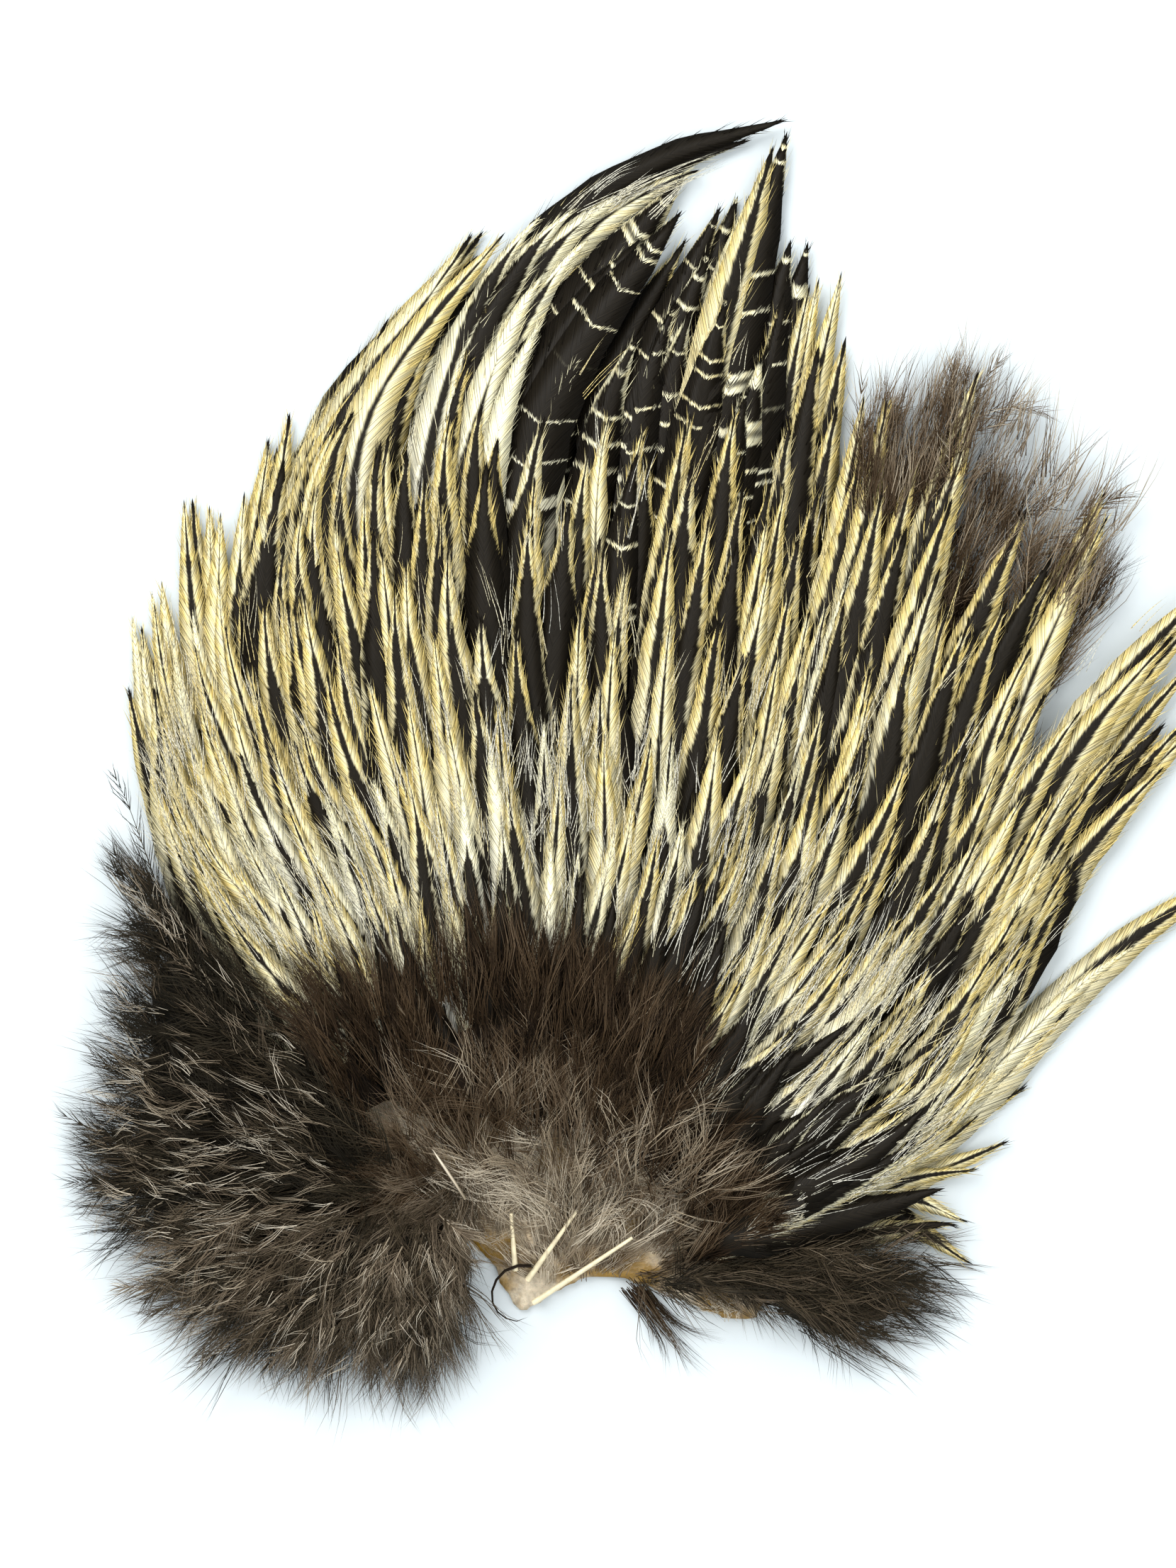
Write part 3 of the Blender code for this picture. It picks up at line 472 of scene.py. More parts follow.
class Pile:
    """Points, faces and point values of many small closed shapes that become one mesh.

    The vanes, barbs and hairs follow the fan in their thousands, so their points are worked out
    and not modelled one by one.
    """

    def __init__(self):
        self.points = []
        self.faces = []
        self.maps = []
        self.values = {}
        self.count = 0

    def add(self, points, faces, bake, values):
        """Add shapes whose faces number their own points from 0."""
        points = points.reshape(-1, 3)
        self.points.append(np.column_stack((points[:, :2], pressed(points[:, 2]))))
        self.faces.append(faces.reshape(-1, 3) + self.count)
        self.maps.append(bake.reshape(-1, 2))
        for name, value in values.items():
            self.values.setdefault(name, []).append(value.reshape(-1, 3))
        self.count += len(points)

    def finish(self, name, nodes, slot, material):
        """Make the mesh an object that rides on the patch and stands for these nodes."""
        if not self.faces:
            raise RuntimeError(f"{name} has no shapes to join")
        mesh = bpy.data.meshes.new(name)
        faces = np.concatenate(self.faces)
        mesh.from_pydata(np.concatenate(self.points).tolist(), [], faces.tolist())
        for key, parts in self.values.items():
            stored = mesh.attributes.new(key, "FLOAT_VECTOR", "POINT")
            stored.data.foreach_set("vector", np.concatenate(parts).astype(np.float32).ravel())
        layer = mesh.uv_layers.new(name="OFBake")
        layer.data.foreach_set("uv", np.concatenate(self.maps)[faces.ravel()].astype(np.float32).ravel())
        mesh.shade_smooth()
        mesh.update()
        piece = bpy.data.objects.new(name, mesh)
        bpy.context.collection.objects.link(piece)
        return dress(piece, nodes, material)


def dress(piece, nodes, material):
    """Give a finished piece its material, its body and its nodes."""
    piece.data.materials.clear()
    piece.data.materials.append(material)
    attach(piece, "root")
    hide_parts(*nodes)
    return piece


def strand_faces(count):
    """Faces of one three-sided strand through count stations, the last of them its tip."""
    faces = [(0, 1, 2)]
    for i in range(count - 2):
        for j in range(3):
            a, b = 3 * i + j, 3 * i + (j + 1) % 3
            faces += [(a, a + 3, b + 3), (a, b + 3, b)]
    last = 3 * (count - 2)
    faces += [(last + j, last + 3, last + (j + 1) % 3) for j in range(3)]
    return np.array(faces)


def add_strands(pile, lines, radii, flatness, bake, bake_width, values):
    """Closed three-sided strands that taper to their last station. lines is (n, k, 3)."""
    n, k = lines.shape[:2]
    run = np.gradient(lines, axis=1)
    run /= np.linalg.norm(run, axis=2, keepdims=True) + 1e-12
    side = np.stack((run[..., 1], -run[..., 0], np.zeros((n, k))), axis=2)
    size = np.linalg.norm(side, axis=2, keepdims=True)
    side = np.where(size < 1e-3, np.array((1.0, 0.0, 0.0)), side / (size + 1e-12))
    lift = np.cross(side, run)
    cos = np.cos(FACE_ANGLES)[:, None]
    sin = np.sin(FACE_ANGLES)[:, None]
    spread = radii[:, :-1, None, None]
    ring = lines[:, :-1, None] + spread * (cos * side[:, :-1, None] + flatness * sin * lift[:, :-1, None])
    points = np.concatenate((ring.reshape(n, -1, 3), lines[:, -1:]), axis=1)
    each = points.shape[1]
    faces = strand_faces(k)[None] + (np.arange(n) * each)[:, None, None]
    nudge = np.array([(c, 0.0) for c in np.cos(FACE_ANGLES)]) * bake_width
    nudge[0, 1] = 0.3 * bake_width
    ring_map = bake[:, :-1, None] + nudge
    maps = np.concatenate((ring_map.reshape(n, -1, 2), bake[:, -1:]), axis=1)
    spreads = {name: np.concatenate((np.repeat(v[:, :-1], 3, axis=1), v[:, -1:]), axis=1)
               for name, v in values.items()}
    pile.add(points, faces, maps, spreads)


def vane_faces(rows):
    """Faces of a vane of rings of four points that end in one tip."""
    faces = [(3, 2, 1), (3, 1, 0)]
    for i in range(rows - 2):
        for j in range(4):
            a, b = 4 * i + j, 4 * i + (j + 1) % 4
            faces += [(a, b, b + 4), (a, b + 4, a + 4)]
    last = 4 * (rows - 2)
    faces += [(last + j, last + (j + 1) % 4, last + 4) for j in range(4)]
    return np.array(faces)


class Feather:
    """One feather along a line of points: a thin cambered vane and its free barbs."""

    def __init__(self, rng, line, kind, cell):
        half, stripe, gold, self.grey, self.broken, self.bars, self.dark = kind
        self.rng = rng
        self.line = line
        self.cell = cell
        self.sizes = bpy.context.scene.hackle_sizes
        self.half = half * rng.uniform(0.85, 1.15)
        self.stripe = stripe * rng.uniform(0.7, 1.3)
        self.gold = np.clip(gold + rng.normal(0.0, 0.15), 0.0, 1.0)
        self.reach = np.append(0.0, np.cumsum(np.linalg.norm(np.diff(line[:, :2], axis=0), axis=1)))
        self.length = self.reach[-1]
        run = np.gradient(line[:, :2], self.reach, axis=0)
        self.run = run / np.linalg.norm(run, axis=1, keepdims=True)
        self.roll = rng.normal(0.0, 0.10)
        self.seed = rng.uniform(100.0, 4000.0)
        self.breaks = rng.uniform(-1.0, 1.0, 8)
        self.widest = rng.uniform(*WEDGE_WIDEST)
        self.ends = rng.uniform(*WEDGE_ENDS)

    def width_at(self, y):
        """Half the vane's width at y metres from the root."""
        narrow = 1.0 - np.exp(-np.clip(self.length - y, 0.0, None) / self.sizes.tip_taper)
        return self.half * narrow * (0.35 + 0.65 * ease(y / (0.4 * self.length)))

    def point_at(self, off, y, up):
        """Points off metres beside the shaft, y along it and up above it."""
        past = np.clip(y - self.length, 0.0, None)
        rx, ry = (np.interp(y, self.reach, self.run[:, i]) for i in (0, 1))
        px, py, pz = (np.interp(y, self.reach, self.line[:, i]) for i in (0, 1, 2))
        px = px + past * self.run[-1, 0] + ry * off
        py = py + past * self.run[-1, 1] - rx * off
        return np.stack((px, py, pz + up), axis=-1)

    def rise(self, across, y):
        """Height of the vane over its shaft: it arches and is rolled to one side."""
        arch = self.sizes.camber * (1.0 - across ** 2) + self.roll * across * self.half
        return arch * self.width_at(y) / self.half

    def marks_at(self, y):
        """The black stripe's edge, and the gold and grey of the pale barbs."""
        v = np.clip(y / self.length, 0.0, 1.0)
        from_tip = np.clip(self.length - y, 0.0, None)
        wedge = 0.40 + 1.25 * ease(from_tip / self.widest)
        wedge = wedge * (1.0 - 0.7 * ease((from_tip - self.ends) / WEDGE_FADE))
        edge = self.stripe * wedge + self.broken * np.interp(v, np.linspace(0.3, 1.0, 8), self.breaks)
        edge = edge + self.dark * 0.9 * np.exp(-from_tip / DARK_TIP)
        warm = self.gold * (0.35 + 0.65 * ease((v - 0.55) / 0.35))
        cold = self.grey * (1.0 - ease((v - 0.45) / 0.42))
        return np.stack((edge, warm, cold), axis=-1)

    def map_at(self, across, y):
        """Places in the bake map, in which each feather has its own cell."""
        column, row, columns, rows = self.cell
        u = 0.5 + np.clip(across, -1.35, 1.35) / 2.9
        v = 0.02 + 0.95 * np.clip(y / self.length, 0.0, 1.02)
        return np.stack(np.broadcast_arrays((column + u) / columns, (row + v) / rows), axis=-1)

    def trace(self, slant, off, y):
        """Millimetres along the shaft to the foot of the slanted line through a point."""
        return 1000.0 * (y - slant * np.abs(off)) + self.seed

    def add_vane(self, pile):
        """Add the vane: at each station its left edge, middle, right edge and underside."""
        across = np.array((-1.0, 0.0, 1.0, 0.0))
        y = np.repeat(self.reach[:-1, None], 4, axis=1)
        widths = self.width_at(y) * self.rng.uniform(0.9, 1.08, y.shape)
        off = across * widths
        up = self.rise(across, y)
        up[:, 3] -= self.sizes.vane_thickness
        tip = self.point_at(0.0, self.length, 0.0)
        points = np.concatenate((self.point_at(off, y, up).reshape(-1, 3), tip[None]))
        bar = self.bars * self.trace(BAR_SLANT, off, y)
        vane = np.stack((np.broadcast_to(across, y.shape), bar, self.trace(SLANT, off, y)), axis=-1)
        last = self.trace(SLANT, 0.0, self.length)
        vane = np.concatenate((vane.reshape(-1, 3), [(0.0, self.bars * last, last)]))
        end = np.array([self.length])
        marks = np.concatenate((self.marks_at(y).reshape(-1, 3), self.marks_at(end)))
        maps = np.concatenate((self.map_at(across, y).reshape(-1, 2), self.map_at(np.zeros(1), end)))
        maps[3, 1] -= ROOT_MAP / self.cell[3]
        pile.add(points, vane_faces(len(self.line)), maps, {"vane": vane, "marks": marks})

    def add_barbs(self, pile):
        """Add the free barbs, most of them near the tip."""
        rng = self.rng
        count = 2 * self.sizes.barbs
        side = np.where(np.arange(count) % 2, 1.0, -1.0)
        away = BARB_ZONE * rng.uniform(0.0, 1.0, count) ** 1.25
        y0 = np.maximum(self.length - away - 0.001, 0.25 * self.length)
        w0 = self.width_at(y0)
        x0 = w0 * rng.uniform(0.35, 0.9, count)
        lean = np.radians(rng.uniform(*BARB_LEANS, count) + 12.0 * w0 / self.half)
        size = rng.uniform(*BARB_LENGTHS, count) * (0.40 + 0.60 * w0 / self.half)
        y1 = np.minimum(y0 + size * np.cos(lean), self.length + rng.uniform(0.0, 0.0014, count))
        free = self.width_at(y1) * 1.10 + rng.uniform(0.0001, 0.0012, count)
        x1 = np.minimum(x0 + size * np.sin(lean), free)
        y = np.stack((y0, y1), axis=1)
        off = np.stack((x0, x1), axis=1) * side[:, None]
        share = np.clip(off / np.maximum(self.width_at(y), 0.0006), -1.3, 1.3)
        up = self.rise(np.clip(share, -1.0, 1.0), y) + 0.00005
        up[:, 1] += rng.uniform(-0.00015, 0.00035, count)
        radii = self.sizes.barb_radius * rng.uniform(0.7, 1.2, count)
        radii = np.repeat(radii[:, None], 2, axis=1)
        barb = np.repeat(self.trace(SLANT, x0, y0)[:, None], 2, axis=1)
        vane = np.stack((share, self.bars * self.trace(BAR_SLANT, off, y), barb), axis=-1)
        add_strands(pile, self.point_at(off, y, up), radii, 0.6, self.map_at(share, y),
                    0.02 / self.cell[2], {"vane": vane, "marks": self.marks_at(y)})


def fan_line(rng, s, tip, layer, stations=25):
    """The line of a feather that follows the fan to its tip at (s, tip)."""
    root = max(HIDE_REACH - layer * ROOT_STEP, LAST_ROOT)
    u = np.linspace(0.0, 1.0, stations) ** 0.8
    t = root + (tip - root) * u
    drift = rng.normal(0.0, 0.40) * (1.0 - u) ** 1.5 * np.minimum(1.0, u / 0.3)
    bend = rng.normal(0.0, 0.07) * np.sin(math.pi * u * 1.5)
    places = fan(s + drift + bend, t)
    heights = feather_height(s, t, layer) + rng.uniform(-0.0001, 0.0002)
    heights = heights + rng.uniform(0.0, 0.0006) * u ** 5
    return at_picture(places, heights)


def tall_line(layer, offset, tip, stations=34):
    """The line of a feather that follows the tallest one, offset to its side."""
    points = np.array(TALL_CURVE, float)
    slopes = np.gradient(points, axis=0)
    root = (HIDE_REACH - layer * ROOT_STEP) / TALL_SHARE
    along = root + (tip - root) * np.linspace(0.0, 1.0, stations) ** 0.85
    low, a, b, c, d = spline_weights(along * (len(points) - 1), len(points))
    a, b, c, d = (w[:, None] for w in (a, b, c, d))
    centre = points[low] * a + slopes[low] * b + points[low + 1] * c + slopes[low + 1] * d
    run = np.gradient(centre, axis=0)
    run = run / np.linalg.norm(run, axis=1)[:, None]
    centre = centre + np.stack((-run[:, 1], run[:, 0]), axis=1) * offset
    return at_picture(centre, feather_height(14.0, along * TALL_SHARE, layer))


def kind_at(rng, x, y):
    """A kind of feather for a tip at a picture place."""
    odds = next(row[4] for row in ODDS if row[0] < x < row[1] and row[2] <= y < row[3])
    names = list(odds)
    return names[rng.choice(len(names), p=[odds[name] for name in names])]


def feather_tips(rng, piece, find):
    """The feathers of a piece: (s, t, layer, kind) of each tip."""
    tips = [find((x, y)) + (layer, kind) for x, y, layer, kind in PLACED.get(piece, ())]
    guides = np.linspace(*FEATHERS, 60)
    for t_row in np.linspace(*FILLED.get(piece, NOT_FILLED)):
        rim = fan(guides, t_row)
        arc = np.append(0.0, np.cumsum(np.linalg.norm(np.diff(rim, axis=0), axis=1))) * PICTURE_UNIT
        count = int(arc[-1] / bpy.context.scene.hackle_sizes.spacing)
        at = (np.arange(count) + rng.uniform(0.1, 0.9, count)) / count * arc[-1]
        for s in np.interp(at, arc, guides):
            t = t_row + rng.uniform(-SPREAD, SPREAD)
            if any(first < s < last and t > least for first, last, least in BARE[piece]):
                continue
            x, y = fan(s, t)
            layer = np.clip(layer_at(t) + rng.uniform(-0.2, 0.2), 0.0, TOP_LAYER)
            tips.append((float(s), float(t), float(layer), kind_at(rng, x, y)))
    return tips


def add_feathers(piece, seed, nodes, slot, extra=()):
    """Lay a piece's feathers and join them."""
    rng = np.random.default_rng(seed)
    pile = Pile()
    lines = list(extra)
    for s, t, layer, kind in feather_tips(rng, piece, find_in_fan()):
        lines.append((fan_line(rng, s, t, layer), kind))
    columns = 20
    rows = math.ceil(len(lines) / columns) + 1
    for i, (line, kind) in enumerate(lines):
        feather = Feather(rng, line, KINDS[kind], (i % columns, i // columns, columns, rows))
        feather.add_vane(pile)
        feather.add_barbs(pile)

    def store_wisps(pile, lines, radii, shade, rng):
        """Add strands with the values that a vane's material reads, as pale as a feather's edge."""
        n, k = lines.shape[:2]
        along = np.broadcast_to(np.linspace(0.02, 0.98, k), (n, k))
        shades = np.repeat(shade[:, None], k, axis=1)
        vane = np.stack((np.full((n, k), 0.9), np.zeros((n, k)), 7.0 * along + 400.0 * shades), axis=-1)
        marks = np.stack((np.full((n, k), -1.0), 0.9 - shades, shades), axis=-1)
        bake = np.stack((0.02 + 0.96 * shades, (rows - 0.9 + 0.8 * along) / rows), axis=-1)
        add_strands(pile, lines, radii, 0.8, bake, 0.003, {"vane": vane, "marks": marks})

    for name, *tuft in TUFTS:
        if name == piece:
            add_tuft(pile, rng, store_wisps, *tuft)
    for name, count, s_range, roots, shades in WISPS:
        if name == piece:
            add_hairs(pile, rng, store_wisps, over_feathers, count, s_range, roots,
                      (0.005, 0.011), (0.0, 1.0), shades, 0.16, 0.15, 3, 0.8)
    return pile.finish(piece + "_feathers", nodes, slot, vane_material())


def over_feathers(s, t, level):
    """Height just over the feathers whose tips are at t: level 0 touches them."""
    layer = np.clip(layer_at(t), 0.0, TOP_LAYER)
    return feather_height(s, t, layer) + 0.0006 + 0.0006 * level


def ripple(x, y, seed):
    """A smooth bumpy field between about -1 and 1."""
    rng = np.random.default_rng(seed)
    total = 0.0
    for _ in range(7):
        angle, pace, start = rng.uniform(0.0, 6.3), rng.uniform(0.5, 2.2), rng.uniform(0.0, 6.3)
        total = total + np.sin(pace * (x * math.cos(angle) + y * math.sin(angle)) + start) / pace
    return total / 3.0


def inside_out(points, faces):
    """Whether a closed shape's faces point inwards."""
    a, b, c = (points[faces[:, i]] for i in range(3))
    return np.einsum("ij,ij->i", a, np.cross(b, c)).sum() < 0.0


def store_down(pile, lines, radii, shade, rng):
    """Add strands of down, each of one shade from root to tip."""
    n, k = lines.shape[:2]
    along = np.broadcast_to(np.linspace(0.02, 0.98, k), (n, k))
    shades = np.repeat(shade[:, None], k, axis=1)
    values = np.stack((shades, along, np.repeat(rng.uniform(size=n)[:, None], k, axis=1)), axis=-1)
    add_strands(pile, lines, radii, 0.8, values[..., :2].copy(), 0.004, {"down": values})


class Locks:
    """Random values for hairs in locks: one for each lock, and a smaller one for each hair."""

    def __init__(self, rng, count, lock):
        self.rng, self.count = rng, count
        self.number = np.arange(count) // lock

    def uniform(self, low, high, own=0.0):
        """Even values from low to high, and up to own more or less for each hair."""
        values = self.rng.uniform(low, high, self.number[-1] + 1)[self.number]
        return values + own * self.rng.uniform(-1.0, 1.0, self.count)

    def normal(self, spread, own):
        """Normal values round 0 with this spread, and with a spread of own within a lock."""
        values = self.rng.normal(0.0, spread, self.number[-1] + 1)[self.number]
        return values + self.rng.normal(0.0, own, self.count)


def lock_paths(rng, locks, base, angle, size, curl):
    """Places of four stations along each hair. A lock is widest at its root and ends in a point."""
    u = np.linspace(0.0, 1.0, 4)
    turn = locks.normal(curl, 0.3 * curl)[:, None] * u
    turn = turn + 0.3 * curl * np.sin(5.0 * u + locks.uniform(0.0, 6.3, 0.5)[:, None])
    heading = np.stack((np.cos(angle[:, None] + turn), np.sin(angle[:, None] + turn)), axis=-1)
    path = np.concatenate((np.zeros((len(base), 1, 2)), np.cumsum(heading[:, :-1], axis=1)), axis=1) / 3.0
    beside = rng.normal(0.0, LOCK_WIDTH, base.shape)[:, None] * (1.0 - 0.75 * u)[:, None]
    return base[:, None] + beside + path * size[:, None, None], path


def add_hairs(pile, rng, store, height, count, s_range, roots, sizes, levels, tones, stray, curl,
              lock=LOCK, thin=1.0):
    """Locks of hairs that leave the fan's direction by a random angle and curl."""
    radius = bpy.context.scene.hackle_sizes.down_radius
    locks = Locks(rng, count, lock)
    s = locks.uniform(*s_range)
    root = roots[0] + (roots[1] - roots[0]) * locks.uniform(0.0, 1.0) ** 0.6
    base = fan(s, root)
    ahead = fan(s, root + 0.02) - base
    unit = np.linalg.norm(ahead, axis=1) / 0.02
    angle = np.arctan2(ahead[:, 1], ahead[:, 0]) + locks.normal(stray, 0.09)
    size = locks.uniform(*sizes) * rng.uniform(0.75, 1.15, count) / PICTURE_UNIT
    places, path = lock_paths(rng, locks, base, angle, size, curl)
    outward = (path * (ahead / np.linalg.norm(ahead, axis=1)[:, None])[:, None]).sum(axis=2)
    t = root[:, None] + outward * (size / unit)[:, None]
    z = height(np.repeat(s[:, None], 4, axis=1), t, locks.uniform(*levels, 0.08)[:, None])
    radii = thin * radius * rng.uniform(0.6, 1.2, count)[:, None] * (1.0 - 0.75 * np.linspace(0.0, 1.0, 4))
    shade = np.clip(locks.uniform(*tones, 0.06), 0.01, 0.99)
    store(pile, at_picture(places, z), radii, shade, rng)


def add_tuft(pile, rng, store, centre, spread, aim, fan_out, count, sizes, heights, tones, curl):
    """Locks of hair rooted round a picture place that point one way, fan out and curl."""
    radius = bpy.context.scene.hackle_sizes.down_radius
    locks = Locks(rng, count, LOCK)
    place = [centre[i] + spread[i] * np.clip(locks.normal(0.5, 0.0), -1.0, 1.0) for i in (0, 1)]
    place = np.stack(place, axis=1)
    aside = (place[:, 0] - centre[0]) / spread[0]
    angle = -np.radians(aim + fan_out * (locks.normal(0.5, 0.1) - aside * math.sin(math.radians(aim))))
    size = locks.uniform(*sizes) * rng.uniform(0.75, 1.15, count) / PICTURE_UNIT
    places, _ = lock_paths(rng, locks, place, angle, size, curl)
    u = np.linspace(0.0, 1.0, 4)
    level = heights[0] + (heights[1] - heights[0]) * u + locks.normal(0.0006, 0.0002)[:, None]
    radii = radius * rng.uniform(0.5, 1.1, count)[:, None] * (1.0 - 0.75 * u)
    store(pile, at_picture(places, level), radii, np.clip(locks.uniform(*tones, 0.06), 0.01, 0.99), rng)


class Mass:
    """A mass of down in the making, with its own height over the fan."""

    def __init__(self, name, height, seed):
        self.name = name
        self.height = height
        self.seed = seed
        self.rng = np.random.default_rng(seed)
        self.pile = Pile()

    def add_shade_body(self, s_range, t_range, rag, level, tone):
        """Add the dense inside: a closed bumpy pillow with a ragged outer edge, coloured dark as painted
        shade deep among the hairs.
        """
        seed = self.seed
        rows, columns = 26, 64
        u, v = np.meshgrid(np.linspace(0.0, 1.0, columns), np.linspace(0.0, 1.0, rows))
        ragged = ripple(3.0 * s_range[0] + 26.0 * u * (s_range[1] - s_range[0]) / 4.0, 4.0, seed + 2)
        s = s_range[0] + (s_range[1] - s_range[0]) * (u + 0.02 * ripple(0.0, 14.0 * v, seed + 3))
        t = t_range[0] + (t_range[1] - t_range[0]) * v * (1.0 + rag * ragged)
        places = fan(s, t)
        bumps = ripple(places[..., 0] / 14.0, places[..., 1] / 14.0, seed)
        low = self.height(s, t, 0.0)
        rim = np.minimum.reduce((u, 1.0 - u, v, 1.0 - v))
        top = low + (self.height(s, t, level) - low) * ease(rim / 0.16) * (0.85 + 0.15 * bumps)
        top = np.maximum(top, low + 0.0001)
        places = places + 5.0 * np.stack((bumps, ripple(s * 3.0, t * 30.0, seed + 1)), axis=-1)
        points = np.stack((at_picture(places, top), at_picture(places, low))).reshape(-1, 3)
        # The upper and the lower sheet share their rim
        upper = np.arange(rows * columns).reshape(rows, columns)
        lower = upper + rows * columns
        rimmed = np.ones(upper.shape, bool)
        rimmed[1:-1, 1:-1] = False
        lower[rimmed] = upper[rimmed]
        faces = []
        for grid, turn in ((upper, 1), (lower, -1)):
            a, b, c, d = grid[:-1, :-1], grid[:-1, 1:], grid[1:, 1:], grid[1:, :-1]
            for corners in ((a, b, c), (a, c, d)):
                faces.append(np.stack([corner.ravel() for corner in corners[::turn]], axis=1))
        used, faces = np.unique(np.concatenate(faces), return_inverse=True)
        faces = faces.reshape(-1, 3)
        points = points[used]
        if inside_out(points, faces):
            faces = faces[:, ::-1]
        # Painted shade: the pillow's tone stays near black and lightens little along the fan, so the gaps
        # among the hairs look shaded
        tones = np.clip(tone + 0.06 * bumps, 0.0, 1.0)
        values = np.stack((tones, 0.1 * t, bumps), axis=-1).reshape(-1, 3)
        values = np.concatenate((values, values))[used]
        self.pile.add(points, faces, np.clip(values[:, :2], 0.01, 0.99), {"down": values})

    def add_plumes(self, count, s_range, roots, spans, levels, tones, barb_long):
        """Add plumes: curved shafts with wavy barbs on both sides."""
        rng = self.rng
        sizes = bpy.context.scene.hackle_sizes
        barbs = 2 * sizes.down_barbs
        u = np.linspace(0.0, 1.0, 7)
        side = np.where(np.arange(barbs) % 2, 1.0, -1.0)
        share = np.array((0.0, 0.5, 1.0))[None, :]
        for _ in range(count):
            # The shaft's line
            s0 = rng.uniform(*s_range)
            root = roots[0] + (roots[1] - roots[0]) * rng.uniform() ** 0.7
            tip = min(root + rng.uniform(*spans), 1.02)
            t = root + (tip - root) * u
            turn = rng.normal(0.0, 0.35) * u + rng.normal(0.0, 0.12) * np.sin(math.pi * u)
            s = np.clip(s0 + turn, s_range[0] - 0.3, s_range[1] + 0.3)
            level = rng.uniform(*levels)
            shaft = at_picture(fan(s, t), self.height(s, t, level))
            tone = rng.uniform(*tones)
            # The barbs
            at = np.sort(rng.uniform(0.06, 1.0, barbs))
            base = np.stack([np.interp(at, u, shaft[:, i]) for i in range(3)], axis=1)
            run = np.gradient(shaft, axis=0)
            run = np.stack([np.interp(at, u, run[:, i]) for i in range(3)], axis=1)
            run /= np.linalg.norm(run, axis=1, keepdims=True)
            out = np.stack((run[:, 1], -run[:, 0], np.zeros(barbs)), axis=1) * side[:, None]
            size = barb_long * rng.uniform(0.55, 1.15, barbs) * np.sqrt(np.sin(math.pi * (0.12 + 0.80 * at)))
            size = size[:, None]
            lean = np.radians(rng.uniform(*PLUME_LEANS, barbs) * (1.0 - 0.5 * at))[:, None]
            ahead = size * (share * np.cos(lean) + 0.35 * share ** 2 * (1 - np.cos(lean)))
            outward = size * np.sin(lean) * (share - 0.28 * share ** 2)
            phase = rng.uniform(0.0, 6.3, barbs)[:, None]
            wave = 0.09 * size * share * np.sin(5.0 * share + phase)
            lift = rng.normal(0.10, 0.22, barbs)[:, None] * size * (share - 0.45 * share ** 2)
            lines = base[:, None] + run[:, None] * ahead[..., None]
            lines = lines + out[:, None] * (outward + wave)[..., None]
            lines[..., 2] = np.maximum(lines[..., 2] + lift, PLUME_FLOOR)
            radii = sizes.down_radius * rng.uniform(0.6, 1.2, barbs)[:, None] * (1.0 - 0.7 * share)
            shade = tone + rng.normal(0.0, 0.07, barbs) + 0.32 * (rng.uniform(size=barbs) < 0.05)
            store_down(self.pile, lines, radii, np.clip(shade, 0.02, 0.98), rng)
            thick = 2.0 * sizes.down_radius * (1.0 - 0.8 * u)
            self.add_strand(shaft, thick, min(tone + 0.12, 0.95))

    def add_strand(self, line, radii, shade):
        """Add one strand along a line of points."""
        store_down(self.pile, line[None], radii[None], np.array([shade]), self.rng)

    def add_hairs(self, *row):
        """Add hairs: count, guides, roots, lengths, levels, tones, stray, curl, lock and thinness."""
        add_hairs(self.pile, self.rng, store_down, self.height, *row)

    def add_tufts(self, piece):
        """Add the listed tufts that belong to a piece."""
        for name, *tuft in TUFTS:
            if name == piece:
                add_tuft(self.pile, self.rng, store_down, *tuft)

    def finish(self, nodes, numbers, slot):
        """Join it into the piece that stands for these nodes."""
        self.pile.finish(self.name, [f"{nodes}_{i}" for i in numbers], slot, down_material(slot))


def side_height(s, t, level):
    """Height in the down at the left and bottom: level 0 is its underside, 1 its top."""
    low = 0.0004 + 0.0014 * (1.0 - ease((t - 0.3) / 0.15))
    top = 0.0120 * np.clip((1.04 - t) / 0.5, 0.0, 1.0) ** 0.8 * (0.75 + 0.25 * ease(t / 0.2))
    return low + level * top


def right_height(s, t, level):
    """Height in the down at the lower right."""
    low = 0.0019 - 0.0015 * ease((t - 0.8) / 0.2)
    return low + level * 0.0075 * np.clip((1.04 - t) / 0.5, 0.0, 1.0) ** 0.8


def crown_height(s, t, level):
    """Height in the fluff over the feathers' roots."""
    low = feather_height(s, t, CROWN_LAYER) - HALF_VANE
    return low + level * 0.0046 * np.clip((0.44 - t) / 0.16, 0.12, 1.0)


def flank_height(s, t, level):
    """Height in the flank's down, under the long feathers and in the open beyond them."""
    thick = 0.0021 + 0.0035 * ease((t - 0.80) / 0.12)
    return 0.0003 + level * thick * np.clip((1.25 - t) / 0.3, 0.1, 1.0)


def add_node(tree, kind, settings, links):
    """Add a shader node, set its settings and stops, and fill its sockets with values or links."""
    made = tree.nodes.new("ShaderNode" + kind)
    for name, value in settings.items():
        if name != "stops":
            setattr(made, name, value)
            continue
        for i, (position, tint) in enumerate(value):
            stops = made.color_ramp.elements
            stop = stops[i] if i < 2 else stops.new(position)
            stop.position = position
            stop.color = tint
    for name, value in links.items():
        if isinstance(name, int):
            socket = made.inputs[name]
        else:
            socket = next(s for s in made.inputs if s.name == name and s.enabled)
        if isinstance(value, bpy.types.Node):
            value = next(s for s in value.outputs if s.enabled)
        if isinstance(value, bpy.types.NodeSocket):
            tree.links.new(value, socket)
        else:
            socket.default_value = value
    return made


def new_material(name):
    """An empty node material with its output."""
    material = bpy.data.materials.new(name)
    material.use_nodes = True
    material.node_tree.nodes.clear()
    return material, material.node_tree, add_node(material.node_tree, "OutputMaterial", {}, {})


